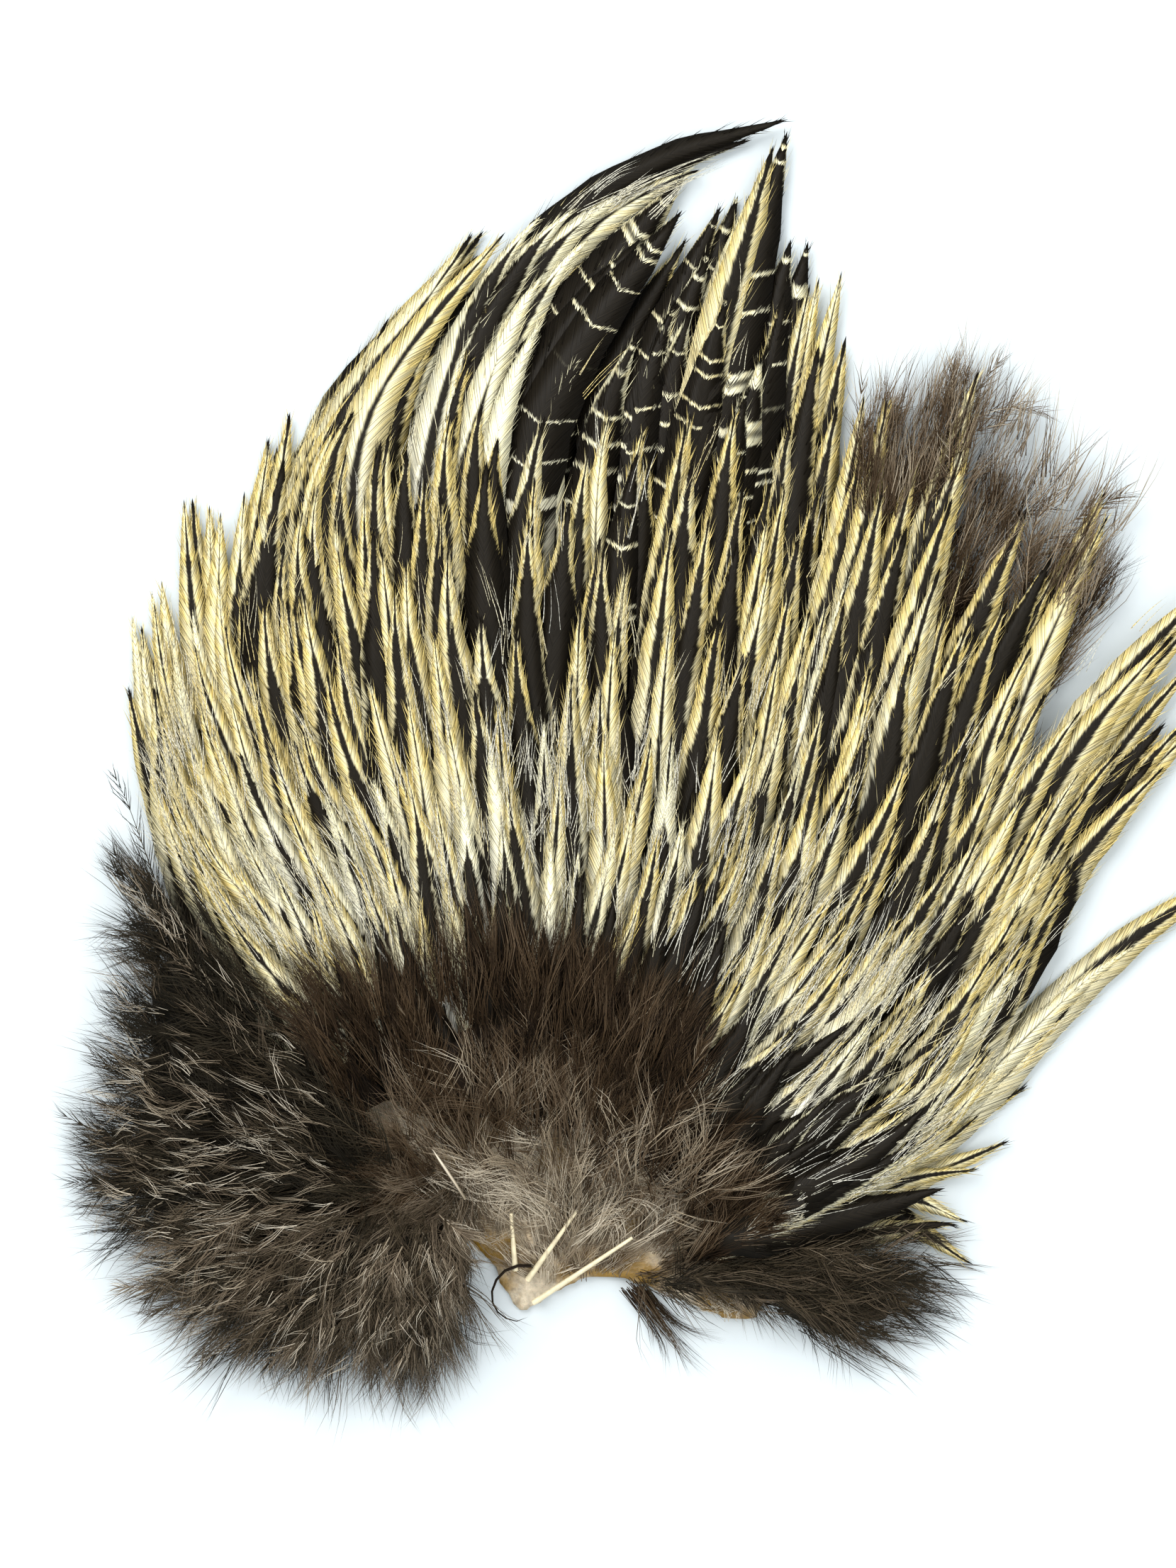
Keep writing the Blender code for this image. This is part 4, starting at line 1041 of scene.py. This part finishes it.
def vane_material():
    """Keratin feather vane: fine parallel barbs, satin, with a black centre and pale edges."""
    if "keratin_vane" in bpy.data.materials:
        return bpy.data.materials["keratin_vane"]
    tints = bpy.context.scene.hackle_colours
    material, tree, output = new_material("keratin_vane")
    vane = add_node(tree, "SeparateXYZ", {}, {
        "Vector": add_node(tree, "Attribute", {"attribute_name": "vane"}, {}).outputs["Vector"]})
    marks = add_node(tree, "SeparateXYZ", {}, {
        "Vector": add_node(tree, "Attribute", {"attribute_name": "marks"}, {}).outputs["Vector"]})
    across = add_node(tree, "Math", {"operation": "ABSOLUTE"}, {0: vane.outputs["X"]})
    # Single barbs, about 0.4 mm apart so that they show, and clumps of barbs a few millimetres wide
    fine = add_node(tree, "TexNoise", {"noise_dimensions": "1D"}, {
        "W": vane.outputs["Z"], "Scale": 2.3, "Detail": 1.0, "Roughness": 0.6})
    clumps = add_node(tree, "TexNoise", {"noise_dimensions": "1D"}, {
        "W": vane.outputs["Z"], "Scale": 0.42, "Detail": 2.0, "Roughness": 0.6})
    # The stripe ends barb by barb, so its edge is jagged
    both = add_node(tree, "Math", {"operation": "ADD"}, {0: fine.outputs[0], 1: clumps.outputs[0]})
    jagged = add_node(tree, "Math", {"operation": "MULTIPLY_ADD"}, {0: both, 1: 0.95, 2: -0.95})
    size = add_node(tree, "Math", {"operation": "MINIMUM"}, {0: marks.outputs["X"], 1: 0.5})
    edge = add_node(tree, "Math", {"operation": "MULTIPLY_ADD"}, {0: jagged, 1: size, 2: marks.outputs["X"]})
    past = add_node(tree, "Math", {"operation": "SUBTRACT"}, {0: across, 1: edge})
    stripe = add_node(tree, "MapRange", {"interpolation_type": "SMOOTHSTEP"}, {
        "Value": past, "From Min": -0.10, "From Max": 0.10, "To Min": 1.0, "To Max": 0.0})
    # Thin cream bars in shallow arcs across the shaft, ragged from barb to barb
    drawn = add_node(tree, "Math", {"operation": "GREATER_THAN"}, {0: vane.outputs["Y"], 1: 0.5})
    place = add_node(tree, "Math", {"operation": "MULTIPLY_ADD"}, {
        0: fine.outputs[0], 1: 1.6, 2: vane.outputs["Y"]})
    bars = add_node(tree, "TexNoise", {"noise_dimensions": "1D"}, {
        "W": place, "Scale": 0.13, "Detail": 0.0})
    off = add_node(tree, "Math", {"operation": "SUBTRACT"}, {0: bars.outputs[0], 1: 0.56})
    off = add_node(tree, "Math", {"operation": "ABSOLUTE"}, {0: off})
    bar = add_node(tree, "MapRange", {"interpolation_type": "SMOOTHSTEP"}, {
        "Value": off, "From Min": 0.010, "From Max": 0.027, "To Min": 0.85, "To Max": 0.0})
    bar = add_node(tree, "Math", {"operation": "MULTIPLY"}, {0: bar, 1: drawn})
    unbarred = add_node(tree, "Math", {"operation": "SUBTRACT"}, {0: 1.0, 1: bar})
    black = add_node(tree, "Math", {"operation": "MULTIPLY"}, {0: stripe, 1: unbarred})
    # Pale barbs: cream next to the stripe, gold outside, ash towards the root
    outer = add_node(tree, "MapRange", {}, {
        "Value": across, "From Min": 0.2, "From Max": 0.9, "To Min": 0.45, "To Max": 1.15})
    warm = add_node(tree, "Math", {"operation": "MULTIPLY"}, {0: outer, 1: marks.outputs["Y"]})
    streaks = add_node(tree, "Math", {"operation": "MULTIPLY_ADD"}, {0: clumps.outputs[0], 1: 1.4, 2: -0.7})
    warm = add_node(tree, "Math", {"operation": "ADD"}, {0: warm, 1: streaks})
    pale = add_node(tree, "Mix", {"data_type": "RGBA", "clamp_factor": True}, {
        "Factor": warm, "A": tints.cream[:], "B": tints.gold[:]})
    pale = add_node(tree, "Mix", {"data_type": "RGBA", "clamp_factor": True}, {
        "Factor": marks.outputs["Z"], "A": pale, "B": tints.ash[:]})
    lines = add_node(tree, "MapRange", {"interpolation_type": "SMOOTHSTEP"}, {
        "Value": fine.outputs[0], "From Min": 0.36, "From Max": 0.56, "To Min": 0.40, "To Max": 1.05})
    uneven = add_node(tree, "MapRange", {}, {
        "Value": clumps.outputs[0], "From Min": 0.3, "From Max": 0.7, "To Min": 0.80, "To Max": 1.18})
    lines = add_node(tree, "Math", {"operation": "MULTIPLY"}, {0: lines, 1: uneven})
    pale = add_node(tree, "Mix", {"data_type": "RGBA", "blend_type": "MULTIPLY"}, {
        "Factor": 1.0, "A": pale, "B": lines})
    dark = add_node(tree, "Mix", {"data_type": "RGBA"}, {
        "Factor": fine.outputs[0], "A": tints.ink[:], "B": tints.umber[:]})
    tint = add_node(tree, "Mix", {"data_type": "RGBA"}, {"Factor": black, "A": pale, "B": dark})
    rough = add_node(tree, "MapRange", {}, {
        "Value": black, "From Min": 0.0, "From Max": 1.0, "To Min": 0.62, "To Max": 0.45})
    bump = add_node(tree, "Bump", {}, {"Height": fine.outputs[0], "Strength": 0.5, "Distance": 0.0001})
    gloss = add_node(tree, "MapRange", {}, {
        "Value": black, "From Min": 0.0, "From Max": 1.0, "To Min": 0.20, "To Max": 0.06})
    shader = add_node(tree, "BsdfPrincipled", {}, {
        "Base Color": tint, "Roughness": rough, "Normal": bump, "IOR": 1.55, "Specular IOR Level": gloss})
    tree.links.new(shader.outputs[0], output.inputs["Surface"])
    return material


def down_material(slot):
    """Down: loose keratin hairs with no gloss, blackish to pale grey, a little lighter at the ends."""
    name = "soft_" + slot
    if name in bpy.data.materials:
        return bpy.data.materials[name]
    material, tree, output = new_material(name)
    down = add_node(tree, "SeparateXYZ", {}, {
        "Vector": add_node(tree, "Attribute", {"attribute_name": "down"}, {}).outputs["Vector"]})
    ends = add_node(tree, "Math", {"operation": "MULTIPLY_ADD"}, {
        0: down.outputs["Y"], 1: 0.16, 2: down.outputs["X"]})
    tint = add_node(tree, "ValToRGB", {"stops": tuple(
        (place, srgb(code)) for place, code in DOWN_TINTS[slot])}, {"Fac": ends})
    shader = add_node(tree, "BsdfPrincipled", {}, {
        "Base Color": tint.outputs["Color"], "Roughness": 0.6, "IOR": 1.55, "Specular IOR Level": 0.08})
    tree.links.new(shader.outputs[0], output.inputs["Surface"])
    return material


def hide_material():
    """Rawhide: skin dried flat, amber where fat has dried in, thin and tan elsewhere."""
    tints = bpy.context.scene.hackle_colours
    material, tree, output = new_material("dried_rawhide")
    place = add_node(tree, "TexCoord", {}, {}).outputs["Object"]
    patches = add_node(tree, "TexNoise", {}, {
        "Vector": place, "Scale": 90.0, "Detail": 4.0, "Roughness": 0.6})
    grain = add_node(tree, "TexNoise", {}, {
        "Vector": place, "Scale": 700.0, "Detail": 4.0, "Roughness": 0.65})
    amount = add_node(tree, "MapRange", {"interpolation_type": "SMOOTHSTEP"}, {
        "Value": patches.outputs[0], "From Min": 0.43, "From Max": 0.60, "To Min": 0.0, "To Max": 1.0})
    tint = add_node(tree, "Mix", {"data_type": "RGBA"}, {
        "Factor": amount, "A": tints.skin[:], "B": tints.amber[:]})
    shade = add_node(tree, "MapRange", {}, {
        "Value": grain.outputs[0], "From Min": 0.3, "From Max": 0.7, "To Min": 0.50, "To Max": 1.10})
    tint = add_node(tree, "Mix", {"data_type": "RGBA", "blend_type": "MULTIPLY"}, {
        "Factor": 1.0, "A": tint, "B": shade})
    bump = add_node(tree, "Bump", {}, {"Height": grain.outputs[0], "Strength": 0.8, "Distance": 0.0004})
    rough = add_node(tree, "MapRange", {}, {
        "Value": patches.outputs[0], "From Min": 0.3, "From Max": 0.7, "To Min": 0.6, "To Max": 0.35})
    shader = add_node(tree, "BsdfPrincipled", {}, {
        "Base Color": tint, "Roughness": rough, "Normal": bump, "IOR": 1.5, "Subsurface Weight": 0.15,
        "Subsurface Radius": (0.004, 0.002, 0.001)})
    tree.links.new(shader.outputs[0], output.inputs["Surface"])
    return material


def quill_material():
    """Quill: hollow keratin horn, pale and slightly glossy, with faint lengthwise streaks."""
    tints = bpy.context.scene.hackle_colours
    material, tree, output = new_material("horn_quill")
    place = add_node(tree, "TexCoord", {}, {}).outputs["Object"]
    streaks = add_node(tree, "TexNoise", {}, {"Vector": place, "Scale": 900.0, "Detail": 2.0})
    shade = add_node(tree, "MapRange", {}, {
        "Value": streaks.outputs[0], "From Min": 0.3, "From Max": 0.7, "To Min": 0.75, "To Max": 1.05})
    tint = add_node(tree, "Mix", {"data_type": "RGBA", "blend_type": "MULTIPLY"}, {
        "Factor": 1.0, "A": tints.horn[:], "B": shade})
    shader = add_node(tree, "BsdfPrincipled", {}, {
        "Base Color": tint, "Roughness": 0.38, "IOR": 1.55})
    tree.links.new(shader.outputs[0], output.inputs["Surface"])
    return material


def paper_material():
    """Plain pale paper, uncoated."""
    tints = bpy.context.scene.hackle_colours
    material, tree, output = new_material("plain_paper")
    place = add_node(tree, "TexCoord", {}, {}).outputs["Object"]
    fibres = add_node(tree, "TexNoise", {}, {"Vector": place, "Scale": 300.0, "Detail": 3.0})
    shade = add_node(tree, "MapRange", {}, {
        "Value": fibres.outputs[0], "From Min": 0.3, "From Max": 0.7, "To Min": 0.985, "To Max": 1.0})
    tint = add_node(tree, "Mix", {"data_type": "RGBA", "blend_type": "MULTIPLY"}, {
        "Factor": 1.0, "A": tints.paper[:], "B": shade})
    shader = add_node(tree, "BsdfPrincipled", {}, {"Base Color": tint, "Roughness": 0.9})
    tree.links.new(shader.outputs[0], output.inputs["Surface"])
    return material


def deselect():
    """Leave nothing selected."""
    if bpy.context.object is not None and bpy.context.object.mode != "OBJECT":
        bpy.ops.object.mode_set(mode="OBJECT")
    bpy.ops.object.select_all(action="DESELECT")


class HACKLE_OT_stage(bpy.types.Operator):
    """Add the pale surface, the soft lights and the camera above the patch"""
    bl_idname = "hackle.stage"
    bl_label = "Add Stage"

    def execute(self, context):
        deselect()
        bpy.ops.mesh.primitive_plane_add(size=3.0, location=(0.0, 0.0, -0.0002))
        floor = context.object
        floor.name = "paper_surface"
        floor.data.materials.append(paper_material())
        for name, place, size, power in LAMPS:
            bpy.ops.object.light_add(type="AREA", location=place)
            lamp = context.object
            lamp.name = name
            lamp.data.size = size
            lamp.data.energy = power
            lamp.rotation_euler = (-lamp.location).to_track_quat("-Z", "Y").to_euler()
        world = bpy.data.worlds.new("soft_room")
        world.use_nodes = True
        sky = world.node_tree.nodes["Background"]
        sky.inputs["Color"].default_value = srgb("#F2F7FA")
        sky.inputs["Strength"].default_value = 0.95
        context.scene.world = world
        bpy.ops.object.camera_add(location=(SHIFT[0], SHIFT[1], EYE_HEIGHT), rotation=(0.0, 0.0, 0.0))
        camera = context.object
        camera.name = "top_camera"
        camera.data.sensor_fit = "HORIZONTAL"
        camera.data.sensor_width = SENSOR
        camera.data.lens = SENSOR * EYE_HEIGHT / (VIEW_WIDTH * PICTURE_UNIT)
        camera.data.clip_start = 0.01
        context.scene.camera = camera
        context.scene.view_settings.view_transform = "Standard"
        return {"FINISHED"}


class HACKLE_OT_hide(bpy.types.Operator):
    """Add the dried hide, flat under the feathers' roots"""
    bl_idname = "hackle.hide"
    bl_label = "Add Hide"

    def execute(self, context):
        deselect()
        outline = at_picture(hide_outline(), 0.0)
        bpy.ops.mesh.primitive_circle_add(vertices=len(outline), radius=0.03, fill_type="NGON")
        hide = context.object
        hide.name = "dried_hide"
        for vertex, place in zip(hide.data.vertices, outline):
            vertex.co = place
        bpy.ops.object.mode_set(mode="EDIT")
        bpy.ops.mesh.select_all(action="SELECT")
        bpy.ops.mesh.extrude_region_move(
            TRANSFORM_OT_translate={"value": (0.0, 0.0, HIDE_THICKNESS)})
        bpy.ops.mesh.select_all(action="SELECT")
        bpy.ops.mesh.normals_make_consistent(inside=False)
        bpy.ops.object.mode_set(mode="OBJECT")
        remesh = hide.modifiers.new("Even", "REMESH")
        remesh.mode = "VOXEL"
        remesh.voxel_size = HIDE_GRID
        bpy.ops.object.modifier_apply(modifier=remesh.name)
        relax = hide.modifiers.new("Relax", "SMOOTH")
        relax.iterations = 3
        relax.factor = 0.5
        bpy.ops.object.modifier_apply(modifier=relax.name)
        places = np.zeros(len(hide.data.vertices) * 3)
        hide.data.vertices.foreach_get("co", places)
        places = places.reshape(-1, 3)
        swell = ripple(places[:, 0] * 420.0, places[:, 1] * 420.0, 5)
        top = ease(places[:, 2] / HIDE_THICKNESS)
        places[:, 2] = np.maximum(places[:, 2] + HIDE_SWELL * top * swell, 0.0)
        hide.data.vertices.foreach_set("co", places.ravel())
        hide.data.update()
        hide.data.shade_smooth()
        dress(hide, ["hide"], hide_material())
        return {"FINISHED"}


class HACKLE_OT_quills(bpy.types.Operator):
    """Add the bare quills on the hide"""
    bl_idname = "hackle.quills"
    bl_label = "Add Bare Quills"

    def execute(self, context):
        made = []
        for start, end, low, high in QUILLS:
            deselect()
            bpy.ops.curve.primitive_bezier_curve_add()
            quill = context.object
            quill.data.dimensions = "3D"
            quill.data.bevel_depth = QUILL_RADIUS
            quill.data.bevel_resolution = 3
            quill.data.use_fill_caps = True
            points = quill.data.splines[0].bezier_points
            places = at_picture(np.array((start, end)), np.array((low, high)))
            for point, place, radius in zip(points, places, (1.0, QUILL_THINNING)):
                point.handle_left_type = point.handle_right_type = "FREE"
                point.co = place
                point.radius = radius
            third = (places[1] - places[0]) / 3.0
            arch = np.array((0.0, 0.0, 0.0003))
            points[0].handle_left = places[0] - third
            points[0].handle_right = places[0] + third + arch
            points[1].handle_left = places[1] - third + arch
            points[1].handle_right = places[1] + third
            bpy.ops.object.convert(target="MESH")
            made.append(context.object)
        deselect()
        for quill in made:
            quill.select_set(True)
        context.view_layer.objects.active = made[0]
        bpy.ops.object.join()
        quills = context.object
        quills.name = "quills"
        bpy.ops.object.shade_smooth()
        dress(quills, [f"bare_quill_{i}" for i in (1, 2, 3)], quill_material())
        return {"FINISHED"}


class HACKLE_OT_long_feathers(bpy.types.Operator):
    """Lay the long feathers that make the outline of the fan"""
    bl_idname = "hackle.long_feathers"
    bl_label = "Add Long Feathers"

    def execute(self, context):
        add_feathers("long", 11, [f"long_feather_{i:02d}" for i in range(1, 19)], "pale_vane")
        return {"FINISHED"}


class HACKLE_OT_tall_feather(bpy.types.Operator):
    """Lay the tallest feathers, which bend over to the right"""
    bl_idname = "hackle.tall_feather"
    bl_label = "Add Tall Feathers"

    def execute(self, context):
        lines = [(tall_line(layer, beside, tip), kind) for layer, beside, tip, kind in TALL_ONES]
        add_feathers("tall", 12, ["tall_feather"], "dark_vane", lines)
        return {"FINISHED"}


class HACKLE_OT_shorter_feathers(bpy.types.Operator):
    """Lay the rows of shorter feathers that lie on the long ones"""
    bl_idname = "hackle.shorter_feathers"
    bl_label = "Add Shorter Feathers"

    def execute(self, context):
        for row, count, seed in SHORTER_ROWS:
            nodes = [f"{row}_feather_{i}" for i in range(1, count + 1)]
            add_feathers(row, seed, nodes, "striped_vane")
        return {"FINISHED"}


class HACKLE_OT_black_feathers(bpy.types.Operator):
    """Lay the broad black feathers over the roots of the others"""
    bl_idname = "hackle.black_feathers"
    bl_label = "Add Black Feathers"

    def execute(self, context):
        add_feathers("black", 17, [f"black_feather_{i}" for i in (1, 2, 3)], "dark_vane")
        return {"FINISHED"}


class HACKLE_OT_side_down(bpy.types.Operator):
    """Add the dark down at the left, the bottom and the lower right"""
    bl_idname = "hackle.side_down"
    bl_label = "Add Side Down"

    def execute(self, context):
        for name, seed, numbers, guides, reach, tones, pale in SIDE_DOWN:
            down = Mass(name, side_height, seed)
            # Dense inside, coloured dark as painted shade among the hairs
            down.add_shade_body(guides, (0.06, 0.72 * reach), 0.05, 0.5, 0.03)
            down.add_plumes(48, guides, (0.02, 0.62 * reach), (0.24, 0.36), (0.35, 1.0), tones, 0.0065)
            down.add_hairs(2900, guides, (0.02, 0.74 * reach), (0.006, 0.014), (0.45, 1.0), tones,
                           0.45, 0.6)
            down.add_hairs(1000, guides, (0.58 * reach, 0.79 * reach), (0.005, 0.013), (0.1, 1.0), tones,
                           0.2, 0.3)
            down.add_hairs(1000, guides, (0.12, 0.84 * reach), (0.003, 0.0075), (0.90, 1.1), pale,
                           0.35, 0.5, 4, 0.6)
            if name == "left_down":
                down.add_hairs(400, (8.8, 9.7), (0.05, 0.57), (0.005, 0.010), (0.2, 0.8), tones,
                               0.25, 0.4)
            down.add_tufts(name.split("_")[0])
            down.finish("left_down", numbers, "dark_down")
        down = Mass("right_down", right_height, 23)
        # Dense inside, coloured dark as painted shade among the hairs
        down.add_shade_body((26.7, 27.8), (0.10, 0.78), 0.10, 0.5, 0.05)
        down.add_plumes(28, (26.3, 27.9), (0.05, 0.60), (0.24, 0.36), (0.35, 1.0), (0.14, 0.40), 0.0060)
        down.add_hairs(2100, (26.3, 27.9), (0.02, 0.72), (0.006, 0.013), (0.45, 1.0), (0.04, 0.58),
                       0.35, 0.5)
        down.add_hairs(260, (26.0, 28.0), (0.70, 0.86), (0.005, 0.012), (0.1, 1.0), (0.10, 0.42),
                       0.2, 0.3)
        down.add_hairs(160, (27.7, 29.1), (0.05, 0.35), (0.005, 0.012), (0.1, 0.8), (0.10, 0.55),
                       0.25, 0.5, 5)
        down.finish("right_down", (1, 2), "dark_down")
        return {"FINISHED"}


class HACKLE_OT_crown_down(bpy.types.Operator):
    """Add the fluff over the feathers' roots"""
    bl_idname = "hackle.crown_down"
    bl_label = "Add Crown Down"

    def execute(self, context):
        down = Mass("crown_down", crown_height, 24)
        # Dense inside, coloured dark as painted shade among the hairs
        down.add_shade_body((9.4, 26.2), (0.11, 0.205), 0.04, 0.4, 0.06)
        down.add_plumes(24, (9.4, 19.6), (0.08, 0.19), (0.09, 0.13), (0.5, 1.0), (0.12, 0.36), 0.0060)
        down.add_plumes(12, (19.6, 26.4), (0.08, 0.15), (0.07, 0.11), (0.1, 0.5), (0.08, 0.36), 0.0060)
        down.add_hairs(1700, (9.4, 19.5), (0.12, 0.25), (0.007, 0.014), (0.4, 1.0), (0.04, 0.50),
                       0.22, 0.35)
        down.add_hairs(620, (12.0, 22.0), (0.06, 0.155), (0.006, 0.014), (0.5, 1.1), (0.30, 0.85),
                       0.45, 0.8, 4)
        down.add_hairs(1100, (10.0, 18.8), (0.20, 0.26), (0.009, 0.017), (0.2, 0.9), (0.02, 0.44),
                       0.12, 0.25)
        down.add_hairs(850, (19.3, 26.4), (0.09, 0.15), (0.006, 0.012), (0.1, 0.6), (0.04, 0.60),
                       0.35, 0.5)
        down.add_tufts("crown")
        along = np.linspace(0.0, 1.0, len(CURLED_BARB))
        barb = at_picture(np.array(CURLED_BARB, float), np.linspace(0.0035, 0.0015, len(CURLED_BARB)))
        down.add_strand(barb, 0.0003 * (1.0 - 0.8 * along), 0.05)
        shaft = at_picture(np.array(BARE_SHAFT, float), np.linspace(0.0080, 0.0112, len(BARE_SHAFT)))
        down.add_strand(shaft, np.full(len(BARE_SHAFT), 0.0003), 0.85)
        down.finish("crown_down", (1, 2, 3), "brown_down")
        return {"FINISHED"}


class HACKLE_OT_flank_down(bpy.types.Operator):
    """Add the brown down of the flank at the upper right"""
    bl_idname = "hackle.flank_down"
    bl_label = "Add Flank Down"

    def execute(self, context):
        down = Mass("flank_down", flank_height, 25)
        # Dense inside, coloured dark as painted shade among the hairs
        down.add_shade_body((18.9, 21.4), (0.42, 0.84), 0.03, 0.4, 0.30)
        down.add_plumes(34, (18.9, 21.3), (0.66, 0.92), (0.08, 0.14), (0.4, 1.0), (0.34, 0.62), 0.0065)
        down.add_hairs(3000, (18.9, 21.4), (0.66, 0.92), (0.008, 0.015), (0.4, 1.0), (0.14, 0.72),
                       0.20, 0.3)
        down.add_hairs(900, (18.8, 21.2), (0.86, 0.98), (0.006, 0.014), (0.3, 1.1), (0.36, 0.80),
                       0.15, 0.25, 4)
        down.finish("flank_down", (1, 2, 3), "brown_down")
        return {"FINISHED"}


class HACKLE_PT_panel(bpy.types.Panel):
    """Lists the steps that build the patch"""
    bl_label = "Saddle Hackle"
    bl_idname = "HACKLE_PT_panel"
    bl_space_type = "VIEW_3D"
    bl_region_type = "UI"
    bl_category = "Hackle"

    def draw(self, context):
        for operator in OPERATORS:
            self.layout.operator(operator.bl_idname)
        for group in (context.scene.hackle_sizes, context.scene.hackle_colours):
            for name in group.__annotations__:
                self.layout.prop(group, name)


OPERATORS = (
    HACKLE_OT_stage, HACKLE_OT_hide, HACKLE_OT_quills, HACKLE_OT_long_feathers,
    HACKLE_OT_tall_feather, HACKLE_OT_shorter_feathers, HACKLE_OT_black_feathers,
    HACKLE_OT_side_down, HACKLE_OT_crown_down, HACKLE_OT_flank_down,
)
CLASSES = (HackleSizes, HackleColours) + OPERATORS + (HACKLE_PT_panel,)


def register():
    """Register the classes and give the scene their settings."""
    for item in CLASSES:
        bpy.utils.register_class(item)
    bpy.types.Scene.hackle_sizes = bpy.props.PointerProperty(type=HackleSizes)
    bpy.types.Scene.hackle_colours = bpy.props.PointerProperty(type=HackleColours)


def unregister():
    """Take the settings and the classes away again."""
    del bpy.types.Scene.hackle_colours
    del bpy.types.Scene.hackle_sizes
    for item in reversed(CLASSES):
        bpy.utils.unregister_class(item)


def main():
    """Build every piece."""
    register()
    for operator in OPERATORS:
        group, name = operator.bl_idname.split(".")
        result = getattr(getattr(bpy.ops, group), name)()
        if result != {"FINISHED"}:
            raise RuntimeError(f"{operator.bl_label} did not finish")
    bpy.context.view_layer.update()


if __name__ == "__main__":
    main()
